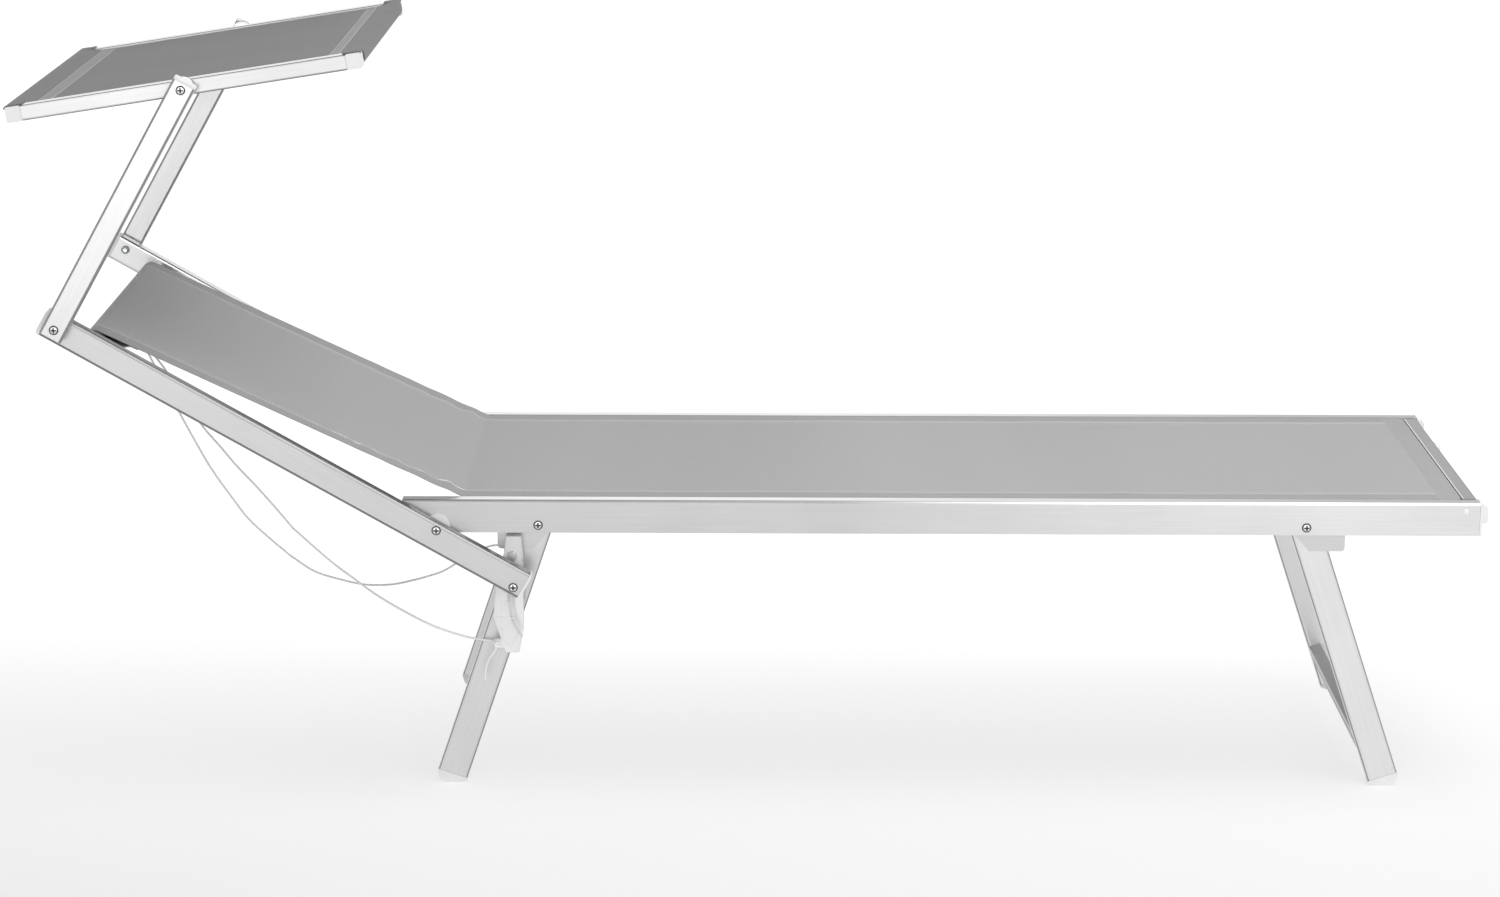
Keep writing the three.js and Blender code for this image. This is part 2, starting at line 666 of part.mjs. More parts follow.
// An arm in the back's own frame, where the arm lies along X and the recline pivot is the origin
function arm({ side, sign }) {
  const section = tubeSection(
    at(Math.min(sign * armInner, sign * armOuter), armBottom),
    at(Math.max(sign * armInner, sign * armOuter), armTop),
    armCornerRadius, armWall,
  );
  const tube = alongFrame(section, -armHeadLength, armTailLength);
  const reachIn = sign * armInner;
  const reachOut = sign * armOuter;
  const holes = [
    drill(0, 0, holeRadius, reachIn, reachOut),
    drill(tailPinX, -tailPinDrop, tailPinRadius + seatGap, reachIn, reachOut),
    drill(-uprightX, -uprightDrop, holeRadius, reachIn, reachOut),
  ];
  return piece(`back_arm_${side}`, cutBy(tube, ...holes), 'satinAluminium');
}

// The cap on either end of an arm: a flange with rounded edges and a plug in the tube
function armCap(name, sign, rim, direction, flange, plugLength, radius) {
  const inset = armWall + seatGap;
  const low = Math.min(sign * armInner, sign * armOuter);
  const high = Math.max(sign * armInner, sign * armOuter);
  const inside = rim + direction * seatGap;
  const rounded = (up, from) => {
    const corner = arcPoints(radius - flange, up, radius, from, from + quarterTurn, cornerSteps);
    return corner.map((point) => at(rim - direction * point.x, point.y));
  };
  const cover = acrossFrame(shapeOf([
    at(inside, armBottom), at(inside, armTop),
    ...rounded(armTop - radius, quarterTurn), ...rounded(armBottom + radius, halfTurn),
  ]), low, high);
  const plugEnds = [inside + direction * radius / 2, rim - direction * plugLength].sort((a, b) => a - b);
  const plug = alongFrame(shapeOf(roundedBox(
    at(low + inset, armBottom + inset), at(high - inset, armTop - inset), armCornerRadius - armWall,
  )), ...plugEnds);
  return piece(name, joined(cover, plug), 'whitePlastic');
}

// The ring between an arm and its rail, on the recline bolt
function armSpacer({ side, sign }) {
  const from = railOuter + seatGap;
  const to = armInner - seatGap;
  const profile = ringProfile(holeRadius, spacerRadius, from, to);
  return piece(`arm_spacer_${side}`, turned(profile, 0, reclineHeight, sign, roundSteps), 'whitePlastic');
}

function openTube(name, centreX, centreZ, radius, wall, half) {
  const profile = ringProfile(radius - wall, radius, -half, half);
  return piece(name, turned(profile, centreX, centreZ, 1, roundSteps), 'satinAluminium');
}

// The back sling: a sleeve round the head tube and a sheet that leaves it toward the hinge,
// where its upper face runs square to the line from the recline pivot
function backCloth() {
  const sleeveInner = headTubeRadius + seatGap;
  const sleeveOuter = sleeveInner + clothThickness;
  const endRadius = backEndRadius();
  const centre = at(-headTubeX, -headTubeDrop);
  const slope = -Math.asin((endRadius - sleeveOuter) / centre.length())
    - Math.atan2(headTubeDrop, headTubeX);
  const normal = at(Math.sin(slope), Math.cos(slope));
  const upperStart = centre.clone().addScaledVector(normal, sleeveOuter);
  const upperEnd = normal.clone().multiplyScalar(endRadius);
  const lowerStart = centre.clone().addScaledVector(normal, sleeveInner + seatGap);
  const lowerEnd = normal.clone().multiplyScalar(endRadius - clothThickness);
  const half = railOuter - slotInset;
  const sleeve = acrossFrame(shapeOf(disc(centre.x, centre.y, sleeveOuter)), -half, half);
  const sheet = acrossFrame(shapeOf([upperStart, upperEnd, lowerEnd, lowerStart]), -half, half);
  const bore = acrossFrame(shapeOf(disc(centre.x, centre.y, sleeveInner)), -half - overrun, half + overrun);
  const narrowHalf = railInner - backClothRailClearance;
  const wide = half + overrun;
  const cuts = sides.map(({ sign }) => upFrame(shapeOf([
    at(upperEnd.x + overrun, sign * narrowHalf), at(upperEnd.x - backClothNarrowLength, sign * narrowHalf),
    at(upperEnd.x - backClothNarrowLength - backClothTaperLength, sign * half),
    at(upperEnd.x - backClothNarrowLength - backClothTaperLength, sign * wide),
    at(upperEnd.x + overrun, sign * wide),
  ]), -endRadius, endRadius + overrun));
  return piece('back_cloth', cutBy(joined(sleeve, sheet), bore, ...cuts), 'greySling');
}

// How far the back sling's lower end lies from the recline pivot, so that its upper face
// starts level with the crease of the seat
function backEndRadius() {
  const crease = at(seatClothStart - slingOverlapGap, reclinePivotDrop);
  return crease.length();
}

// One canopy upright in its own frame, standing on the arm's screw at the origin
function upright({ side, sign }) {
  const low = at(-uprightWidth / 2, Math.min(sign * uprightInner, sign * uprightOuter));
  const high = at(uprightWidth / 2, Math.max(sign * uprightInner, sign * uprightOuter));
  const top = uprightHoleSpacing + uprightEndReach - uprightCapFlange;
  const outer = upFrame(shapeOf(roundedBox(low, high, uprightCornerRadius)), -uprightEndReach, top);
  const inset = at(uprightWall, uprightWall);
  const hollow = upFrame(
    shapeOf(roundedBox(low.clone().add(inset), high.clone().sub(inset), uprightCornerRadius - uprightWall)),
    uprightFloor - uprightEndReach, top + overrun,
  );
  const holes = [0, uprightHoleSpacing]
    .map((z) => drill(0, z, holeRadius, sign * uprightInner, sign * uprightOuter));
  return piece(`canopy_upright_${side}`, cutBy(outer, hollow, ...holes), 'satinAluminium');
}

function uprightCap({ side, sign }) {
  const low = at(-uprightWidth / 2, Math.min(sign * uprightInner, sign * uprightOuter));
  const high = at(uprightWidth / 2, Math.max(sign * uprightInner, sign * uprightOuter));
  const inset = at(uprightWall + seatGap, uprightWall + seatGap);
  const rim = uprightHoleSpacing + uprightEndReach - uprightCapFlange + seatGap;
  const top = uprightHoleSpacing + uprightEndReach;
  const cover = upFrame(shapeOf(roundedBox(low, high, uprightCornerRadius)), rim, top);
  const plug = upFrame(
    shapeOf(roundedBox(low.clone().add(inset), high.clone().sub(inset), uprightCornerRadius - uprightWall)),
    rim - uprightCapPlug, rim + uprightCapFlange / 2,
  );
  return piece(`upright_cap_${side}`, joined(cover, plug), 'whitePlastic');
}

// The canopy in its own frame: rails along X, the tilt screws at the origin
function canopyRail({ side, sign }) {
  const half = canopyRailSize / 2;
  const section = tubeSection(
    at(Math.min(sign * armInner, sign * armOuter), -half),
    at(Math.max(sign * armInner, sign * armOuter), half),
    canopyRailRadius, canopyRailWall,
  );
  const reach = canopyLength / 2 - canopyCapLength;
  const hole = drill(0, 0, holeRadius, sign * armInner, sign * armOuter);
  return piece(`canopy_rail_${side}`, cutBy(alongFrame(section, -reach, reach), hole), 'satinAluminium');
}

// A canopy corner: a block on the end of a rail, a plug in the rail and a stub in the end bar
function canopyCorner({ side, sign }, end, direction) {
  const half = canopyRailSize / 2;
  const inset = canopyRailWall + seatGap;
  const low = Math.min(sign * armInner, sign * armOuter);
  const high = Math.max(sign * armInner, sign * armOuter);
  const railEnd = canopyLength / 2 - canopyCapLength;
  const span = [direction * (railEnd + seatGap), direction * canopyLength / 2].sort((a, b) => a - b);
  const plugSpan = [direction * (railEnd - canopyCapPlug), direction * (railEnd + canopyCapLength / 2)]
    .sort((a, b) => a - b);
  const blockOutline = roundedBox(at(span[0], -half), at(span[1], half), canopyRailRadius);
  const block = acrossFrame(shapeOf(blockOutline), low, high);
  const plug = alongFrame(shapeOf(roundedBox(
    at(low + inset, inset - half), at(high - inset, half - inset), canopyRailRadius - canopyRailWall,
  )), ...plugSpan);
  const stubRadius = canopyBarRadius - canopyBarWall - seatGap;
  const stub = acrossFrame(
    shapeOf(disc(direction * canopyBarX, 0, stubRadius, smallRoundSteps)),
    sign * (armInner - canopyBarStub), sign * (armInner + armThickness / 2),
  );
  return piece(`canopy_corner_${end}_${side}`, joined(block, plug, stub), 'whitePlastic');
}

// The canopy's sheet with a sleeve round each end bar; the sleeves end flush with the corners
function canopyCloth() {
  const half = armInner - canopyClothSideGap;
  const underside = canopyClothRise - clothThickness;
  const sheet = acrossFrame(shapeOf([
    at(-canopyBarX, underside), at(canopyBarX, underside),
    at(canopyBarX, canopyClothRise), at(-canopyBarX, canopyClothRise),
  ]), -half, half);
  const sleeves = [-canopyBarX, canopyBarX]
    .map((x) => acrossFrame(shapeOf(disc(x, 0, canopySleeveRadius)), -half, half));
  const bores = [-canopyBarX, canopyBarX].map((x) => acrossFrame(
    shapeOf(disc(x, 0, canopyBarRadius + seatGap)), -half - overrun, half + overrun,
  ));
  return piece('canopy_cloth', cutBy(joined(sheet, ...sleeves), ...bores), 'greySling');
}

// A cord along its hand-chosen routes: the long fall from the head tube, the bend through the
// rack's eye to the stopper knot on its outer side, and the free tail
function cord({ side, sign }, routes) {
  const section = shapeOf(disc(0, 0, cordRadius, cordSides));
  const steps = { long: longSteps, eye: eyeSteps, tail: tailSteps };
  const spread = sign * rackOuter / cordRouteReach;
  const stretches = Object.entries(routes).map(([stretch, route]) => {
    const points = route.map(([x, out, up]) => new THREE.Vector3(x, out * spread, reclineHeight + up));
    const extrudePath = new THREE.CatmullRomCurve3(points, false, 'centripetal');
    return new THREE.ExtrudeGeometry(section, { steps: steps[stretch], bevelEnabled: false, extrudePath });
  });
  const knot = new THREE.SphereGeometry(knotRadius, cordSides, cordSides / 2);
  const knotHeight = reclineHeight - rackBossDrop - rackEyeDrop;
  const knotOut = rackOuter + seatGap + knotRadius * knotSeatShare;
  knot.translate(rackBossX - rackEyeX, sign * knotOut, knotHeight);
  return piece(`release_cord_${side}`, joined(knot, ...stretches), 'whiteCord');
}

// The frame that stays put
const lounger = new THREE.Group();
lounger.add(footCross(), seatCloth());
lounger.add(openTube('seat_cross', seatCrossDistance, reclineHeight, seatCrossRadius, seatCrossWall,
  railInner - seatGap));
for (const place of sides) {
  const { side, sign } = place;
  lounger.add(sideRail(place), footCorner(place), armSpacer(place));
  lounger.add(legBracket(`head_bracket_${side}`, headLegX, -1, sign, true));
  lounger.add(legBracket(`foot_bracket_${side}`, footLegX, 1, sign, false));
  const tip = bracketInner - seatGap - nutHeight;
  for (const [end, x] of [['head', headLegX], ['foot', footLegX]]) {
    lounger.add(screw(`${end}_leg_screw_${side}`, x, legPivotHeight, sign, railOuter, tip, { nut: true }));
  }
  const boltTip = railInner - seatGap - nutHeight;
  lounger.add(screw(`recline_bolt_${side}`, 0, reclineHeight, sign, armOuter, boltTip, { nut: true }));
  lounger.add(rack(place));
}
lounger.add(legFrame('head', headLegX, -1), legFrame('foot', footLegX, 1));

// The reclining back, turned about its pivot
const back = new THREE.Group();
back.position.z = reclineHeight;
back.rotation.y = reclineAngle;
const betweenArms = armInner - seatGap;
back.add(openTube('head_tube', -headTubeX, -headTubeDrop, headTubeRadius, headTubeWall, betweenArms));
back.add(backCloth());
for (const place of sides) {
  const { side, sign } = place;
  back.add(arm(place));
  back.add(armCap(`arm_tail_cap_${side}`, sign, armTailLength, 1, armTailCapFlange, armTailCapPlug,
    armTailCapRadius));
  back.add(armCap(`arm_head_cap_${side}`, sign, -armHeadLength, -1, armHeadCapFlange, armHeadCapPlug,
    armHeadCapRadius));
  const pinTip = rackInner + rackWeb + rackGrooveClearance;
  back.add(screw(`tail_pin_${side}`, tailPinX, -tailPinDrop, sign, armOuter, pinTip,
    { radius: tailPinRadius }));
}
lounger.add(back);

// The uprights, turned about the screws at the arms' head ends
const uprights = new THREE.Group();
uprights.position.set(-uprightX, 0, -uprightDrop);
uprights.rotation.y = uprightLean - reclineAngle;
for (const place of sides) {
  const { side, sign } = place;
  const collar = { from: armOuter + seatGap, to: uprightInner - seatGap, reach: washerRadius };
  uprights.add(upright(place), uprightCap(place));
  uprights.add(screw(`upright_screw_${side}`, 0, 0, sign, uprightOuter, armInner - nutHeight - seatGap,
    { nut: true, collar }));
  uprights.add(screw(`canopy_screw_${side}`, 0, uprightHoleSpacing, sign, uprightOuter, armInner, { collar }));
}
back.add(uprights);

// The canopy, turned about the screws at the uprights' tops
const canopy = new THREE.Group();
canopy.position.z = uprightHoleSpacing;
canopy.rotation.y = -canopyPitch - uprightLean;
canopy.add(canopyCloth());
for (const [end, direction] of [['head', -1], ['foot', 1]]) {
  canopy.add(openTube(`canopy_bar_${end}`, direction * canopyBarX, 0, canopyBarRadius, canopyBarWall,
    betweenArms));
  for (const place of sides) canopy.add(canopyCorner(place, end, direction));
}
for (const place of sides) canopy.add(canopyRail(place));
uprights.add(canopy);

// The cords hang in the frame's own axes
lounger.add(cord(sides[0], nearCordRoutes), cord(sides[1], farCordRoutes));

// The finished part stands with its middle over the origin
const group = new THREE.Group();
group.add(lounger);
group.updateMatrixWorld(true);
const extent = new THREE.Box3().setFromObject(group, true);
lounger.position.x = -extent.getCenter(new THREE.Vector3()).x;

export default group;
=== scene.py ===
"""A folding sun lounger with a tilting canopy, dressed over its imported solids.

Metres, +Z up, head end at -X, foot end at +X, near side at -Y, floor at Z = 0.
"""

import json
import math

import bmesh
import bpy
from mathutils import Matrix, Vector


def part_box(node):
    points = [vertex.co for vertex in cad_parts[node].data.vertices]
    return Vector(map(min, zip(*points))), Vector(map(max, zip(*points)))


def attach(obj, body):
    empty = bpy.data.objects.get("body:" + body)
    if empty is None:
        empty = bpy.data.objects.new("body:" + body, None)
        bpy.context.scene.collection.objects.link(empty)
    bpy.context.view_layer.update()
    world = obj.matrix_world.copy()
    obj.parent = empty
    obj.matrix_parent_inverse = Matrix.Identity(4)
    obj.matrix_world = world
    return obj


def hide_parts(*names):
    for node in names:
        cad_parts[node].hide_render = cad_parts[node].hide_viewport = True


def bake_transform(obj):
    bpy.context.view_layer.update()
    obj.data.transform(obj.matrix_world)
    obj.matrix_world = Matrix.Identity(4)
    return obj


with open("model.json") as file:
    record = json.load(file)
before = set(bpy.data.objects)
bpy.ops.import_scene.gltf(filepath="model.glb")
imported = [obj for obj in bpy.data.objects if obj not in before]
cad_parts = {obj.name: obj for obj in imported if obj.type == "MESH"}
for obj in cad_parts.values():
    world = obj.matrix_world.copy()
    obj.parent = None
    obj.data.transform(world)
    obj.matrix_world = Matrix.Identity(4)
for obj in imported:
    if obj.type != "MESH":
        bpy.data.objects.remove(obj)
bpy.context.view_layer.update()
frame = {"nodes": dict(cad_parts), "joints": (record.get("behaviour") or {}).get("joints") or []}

MM = 0.001
SIDES = (("near", -1), ("far", 1))

# Pivots from the frame's joints, and the tilts of the moving bodies in the photo's pose
pivots = {joint["name"]: Vector(joint["pos_m"]) for joint in frame["joints"]}
RECLINE = math.radians(29.75)
UPRIGHT_LEAN = math.radians(29.15)
CANOPY_PITCH = math.radians(9.06)
LEG_LEAN = math.radians(18.7)


def placed(pivot, turn):
    """A body's own axes: the place of its pivot and its turn about a line along Y."""
    return Matrix.Translation(pivot) @ Matrix.Rotation(turn, 4, "Y")


BACK = placed(pivots["recline"], RECLINE)
CANOPY = placed(pivots["canopy_tilt"], -CANOPY_PITCH)


def link(name, data):
    """A new object in the scene."""
    item = bpy.data.objects.new(name, data)
    bpy.context.scene.collection.objects.link(item)
    return item


# Camera

CAMERA_PLACE = (-0.00508, -4.8681, 1.5823)
CAMERA_YAW = math.radians(0.053)
CAMERA_TILT = math.radians(76.33)
CAMERA_ROLL = math.radians(0.193)
LENS = 89.4


def add_camera():
    data = bpy.data.cameras.new("camera")
    data.lens = LENS
    data.clip_end = 60
    turn = Matrix.Rotation(CAMERA_YAW, 4, "Z") @ Matrix.Rotation(CAMERA_TILT, 4, "X")
    camera = link("camera", data)
    camera.matrix_world = Matrix.Translation(CAMERA_PLACE) @ turn @ Matrix.Rotation(CAMERA_ROLL, 4, "Z")
    bpy.context.scene.camera = camera


add_camera()


# Node graphs

class Socket:
    """One output of a node, with the sums that node maths needs."""

    def __init__(self, graph, output):
        self.graph = graph
        self.output = output

    def maths(self, operation, *others):
        return self.graph.maths(operation, self, *others)

    def __add__(self, other):
        return self.maths("ADD", other)

    def __sub__(self, other):
        return self.maths("SUBTRACT", other)

    def __rsub__(self, other):
        return self.graph.maths("SUBTRACT", other, self)

    def __mul__(self, other):
        return self.maths("MULTIPLY", other)

    __radd__, __rmul__ = __add__, __mul__

    def sine(self):
        return self.maths("SINE")

    def size(self):
        return self.maths("ABSOLUTE")

    def highest(self, other):
        return self.maths("MAXIMUM", other)

    def below(self, level):
        return self.maths("LESS_THAN", level)

    def ramp(self, low, high):
        """From 0 at low to 1 at high, and flat outside."""
        inputs = {"Value": self, "From Min": low, "From Max": high}
        return self.graph.add("ShaderNodeMapRange", inputs, clamp=True)


class Graph:
    """A node tree under construction."""

    def __init__(self, tree):
        self.tree = tree

    def add(self, kind, inputs=None, output=0, **settings):
        """A node with its settings and then its inputs' values or links; gives one output."""
        node = self.tree.nodes.new(kind)
        for name, value in settings.items():
            setattr(node, name, value)
        for name, value in (inputs or {}).items():
            self.put(node.inputs[name], value)
        return Socket(self, node.outputs[output])

    def put(self, socket, value):
        if isinstance(value, Socket):
            self.tree.links.new(value.output, socket)
        else:
            socket.default_value = value

    def maths(self, operation, *values):
        return self.add("ShaderNodeMath", dict(enumerate(values)), operation=operation)

    def parts(self, vector):
        """The three numbers of a vector."""
        split = self.add("ShaderNodeSeparateXYZ", {"Vector": vector}).output.node
        return [Socket(self, output) for output in split.outputs]

    def vector(self, x, y, z):
        return self.add("ShaderNodeCombineXYZ", {"X": x, "Y": y, "Z": z})

    def surface(self, uv_map):
        """Places on a piece's surface, across and along it, from its own UV map."""
        return self.parts(self.add("ShaderNodeUVMap", uv_map=uv_map))[:2]

    def place(self, turn=0.0, about=(0, 0, 0)):
        """Places on the object, turned so that X runs along a bar that lies at that turn."""
        place = self.add("ShaderNodeTexCoord", output="Object")
        inputs = {"Vector": place, "Location": about, "Rotation": (0, turn, 0)}
        return self.add("ShaderNodeMapping", inputs, vector_type="TEXTURE")

    def noise(self, scale, detail=2.0, roughness=0.5, at=None):
        """Noise at given places, or else at those on the object."""
        inputs = {"Scale": scale, "Detail": detail, "Roughness": roughness}
        return self.add("ShaderNodeTexNoise", dict(inputs, Vector=at or self.place()))

    def blend(self, share, first, second):
        """A colour between two colours, which a Mix node has as its inputs 6 and 7."""
        return self.add("ShaderNodeMix", {"Factor": share, 6: first, 7: second}, 2, data_type="RGBA")


def grey(level, tint=0.0):
    """A neutral linear colour, a little cooler where tint is above 0."""
    return (level * (1 - tint), level, level * (1 + tint), 1)


def new_material(name, base, roughness, constants=None, bump=None):
    """A principled material. base and roughness are values or functions of the graph;
    bump gives a height in metres."""
    material = bpy.data.materials.new(name)
    material.use_nodes = True
    graph = Graph(material.node_tree)
    shader = material.node_tree.nodes["Principled BSDF"]
    values = dict(constants or {}, Roughness=roughness)
    values["Base Color"] = base
    for socket, value in values.items():
        graph.put(shader.inputs[socket], value(graph) if callable(value) else value)
    if bump:
        inputs = {"Height": bump(graph), "Distance": 1.0, "Strength": 1.0}
        graph.put(shader.inputs["Normal"], graph.add("ShaderNodeBump", inputs))
    return material


# Materials

def mottled(scale, detail, depth, base=0.0):
    """A roughness or a height that noise lifts from base by up to depth."""
    return lambda graph: graph.noise(scale, detail) * depth + base


def speckled(scale, low, high):
    """A colour that noise varies between two greys."""
    return lambda graph: graph.blend(graph.noise(scale), grey(low), grey(high))


def facing(graph, turn=0.0):
    """How squarely the surface faces along each of a bar's own axes: X, Y and up along Z."""
    x, y, z = graph.parts(graph.add("ShaderNodeTexCoord", output="Normal"))
    cosine, sine = math.cos(turn), math.sin(turn)
    return (x * cosine - z * sine).size(), y.size(), x * sine + z * cosine


# The rounded corners of an extrusion, painted darker as their shade and dark reflection: how squarely
# the surface faces any axis where the painted dark line starts and where it is full, and its level and
# share
CORNER_SHADE_LINES = {"narrow": (0.95, 0.85), "wide": (0.995, 0.97)}
CORNER_SHADE_LEVEL = 0.3
CORNER_SHADE_SHARE = 0.85


def aluminium(name, turn=0.0, about=(0, 0, 0), along="X", level=0.6, corners="narrow", top=None,
              change=None):
    """Satin anodised extrusion: faint lines along the bar, cloudy oxide and small scuffs, with painted
    shade and dark reflection along its rounded corners. top gives the upper face a level of its own,
    a painted highlight or shade. change gives the places along X where the colour starts and ends to
    change, and its face, top and corner levels past them; on the rails and the canopy rail it is a
    painted gradient of light."""
    face_end, top_end, corner_shade_end = change[2:] if change else (None, None, None)

    def lines(graph, pitch):
        places = zip("XYZ", graph.parts(graph.place(turn, about)))
        stretched = [place * 0.02 if axis == along else place for axis, place in places]
        return graph.noise(1 / pitch, 3.0, 0.6, graph.vector(*stretched))

    def tone(graph, share, start, end):
        """A level's colour, on its way to that of the level past the change."""
        colours = [graph.blend(share, grey(value * 0.95, 0.003), grey(value * 1.05, 0.002))
                   for value in (start, end) if value]
        if not end:
            return colours[0]
        x, _, _ = graph.parts(graph.place())
        return graph.blend(x.ramp(*change[:2]), *colours)

    def colour(graph):
        share = lines(graph, 0.0022).ramp(0.3, 0.7) * 0.6 + graph.noise(9.0).ramp(0.35, 0.65) * 0.4
        x, y, z = facing(graph, turn)
        face = tone(graph, share, level, face_end)
        # The upper face's own level: a painted highlight or shade
        if top:
            face = graph.blend(z.ramp(0.9, 0.98), face, tone(graph, share, top, top_end))
        # Painted shade and dark reflection along the rounded corners
        if corners:
            line = x.highest(y).highest(z.size()).ramp(*CORNER_SHADE_LINES[corners]) * CORNER_SHADE_SHARE
            face = graph.blend(line, face, tone(graph, share, level * CORNER_SHADE_LEVEL, corner_shade_end))
        return face

    def roughness(graph):
        scuff = graph.noise(160.0, 4.0, 0.7).ramp(0.62, 0.74)
        return lines(graph, 0.0012) * 0.12 + 0.27 + scuff * 0.10

    def height(graph):
        return lines(graph, 0.0009) * 0.00001

    constants = {"Metallic": 0.82, "IOR": 1.45}
    return new_material(f"aluminium_{name}", colour, roughness, constants, height)


def moulded_plastic():
    """White moulded plastic with a fine spark-eroded grain and slightly yellowed patches."""

    def colour(graph):
        patch = graph.noise(22.0, 3.0).ramp(0.35, 0.7)
        return graph.blend(patch, (0.86, 0.86, 0.857, 1), (0.92, 0.92, 0.915, 1))

    roughness, grain = mottled(300.0, 2.0, 0.14, 0.38), mottled(1800.0, 2.0, 0.00003)
    return new_material("white_plastic", colour, roughness, {"IOR": 1.46}, grain)


def screw_steel():
    """Zinc-plated steel with cloudy passivation and fine turning marks, painted bright on the
    crowns as a highlight and dark on the flanks as shade."""

    def colour(graph):
        cloud = graph.noise(240.0, 3.0).ramp(0.3, 0.75)
        # Painted highlight on the crown that faces out, painted shade on the flanks
        lit_crown = graph.blend(cloud, grey(0.70, 0.01), grey(0.92, 0.02))
        shaded_flank = graph.blend(cloud, grey(0.04, 0.01), grey(0.10, 0.01))
        return graph.blend(facing(graph)[1].ramp(0.93, 0.985), shaded_flank, lit_crown)

    roughness, marks = mottled(700.0, 3.0, 0.22, 0.16), mottled(2600.0, 2.0, 0.00002)
    return new_material("screw_steel", colour, roughness, {"Metallic": 1.0}, marks)


YARN = 1.25 * MM


def sling(name, level, layers=1, hem=None):
    """Coated mesh cloth: plain weave of flat yarns, seen through UVs measured in metres, with
    painted shade in the gaps between the yarns. Two layers, as in a hem, show a closer weave. hem
    gives how far from the middle a side hem's cut edge shows through as a paler line, with a
    darker strip past it. On the near side next to the crease, noise paints bright glints on that line."""

    def weave(graph):
        return [(place * (math.pi * layers / YARN)).sine() for place in graph.surface("cloth")]

    def side_hem(graph, cloth, x, y, z):
        out = graph.surface("cloth")[0].size()
        past = out.ramp(hem, hem + 1.5 * MM)
        line = past * out.ramp(hem + 7 * MM, hem + 5 * MM)
        # Where painted glints brighten the hem line: next to the crease, on the near side
        glint_reach = x.ramp(-0.60, -0.52) * x.ramp(-0.36, -0.40) * y.ramp(0.1, -0.1)
        glint = graph.noise(45.0, at=graph.vector(x, z, y * 3)).ramp(0.48, 0.6) * glint_reach
        cloth = graph.blend(past * 0.22, cloth, grey(level * 0.35))
        cloth = graph.blend(line * 0.45, cloth, grey(level * 1.7))
        return graph.blend(line * glint, cloth, grey(0.95))

    def colour(graph):
        warp, weft = weave(graph)
        x, y, z = graph.parts(graph.place())
        band = graph.noise(3.4, at=graph.vector(x, y * 0.15, z)).ramp(0.3, 0.7)
        fleck = graph.noise(420.0).ramp(0.3, 0.7)
        share = (warp * weft).ramp(-1.0, 1.0) * 0.35 + band * 0.4 + fleck * 0.25
        # Painted shade seen through the gaps where warp and weft both thin out
        gap_shade = warp.size().below(0.22) * weft.size().below(0.22)
        cloth = graph.blend(share, grey(level * 0.86, 0.004), grey(level * 1.12, 0.004))
        cloth = graph.blend(gap_shade * 0.75, cloth, grey(level * 0.35))
        return side_hem(graph, cloth, x, y, z) if hem else cloth

    def height(graph):
        warp, weft = weave(graph)
        return (warp * weft) * 0.00009 + graph.noise(35.0, 3.0) * 0.0004

    constants = {"IOR": 1.4, "Sheen Weight": 0.15, "Sheen Roughness": 0.5}
    return new_material(f"sling_{name}", colour, mottled(300.0, 2.0, 0.2, 0.55), constants, height)


def braided_cord():
    """White braid: two sets of strands that cross, from UVs measured in metres."""

    def strands(graph):
        around, along = graph.surface("cord")
        turn, climb = around * (6 * math.pi), along * (math.pi / (2.2 * MM))
        return (turn + climb).sine().size().highest((turn - climb).sine().size())

    def colour(graph):
        soil = graph.noise(60.0, 3.0).ramp(0.4, 0.75) * 0.2
        white = graph.blend(strands(graph), (0.80, 0.80, 0.79, 1), (0.95, 0.95, 0.945, 1))
        return graph.blend(soil, white, (0.82, 0.81, 0.79, 1))

    def height(graph):
        return strands(graph) * 0.0001

    return new_material("white_cord", colour, 0.8, {"Sheen Weight": 0.1}, height)


# Where the pale lip beside the foot slot ends on the foot cross
FOOT_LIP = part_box("foot_cross")[1][0] - 17.2 * MM

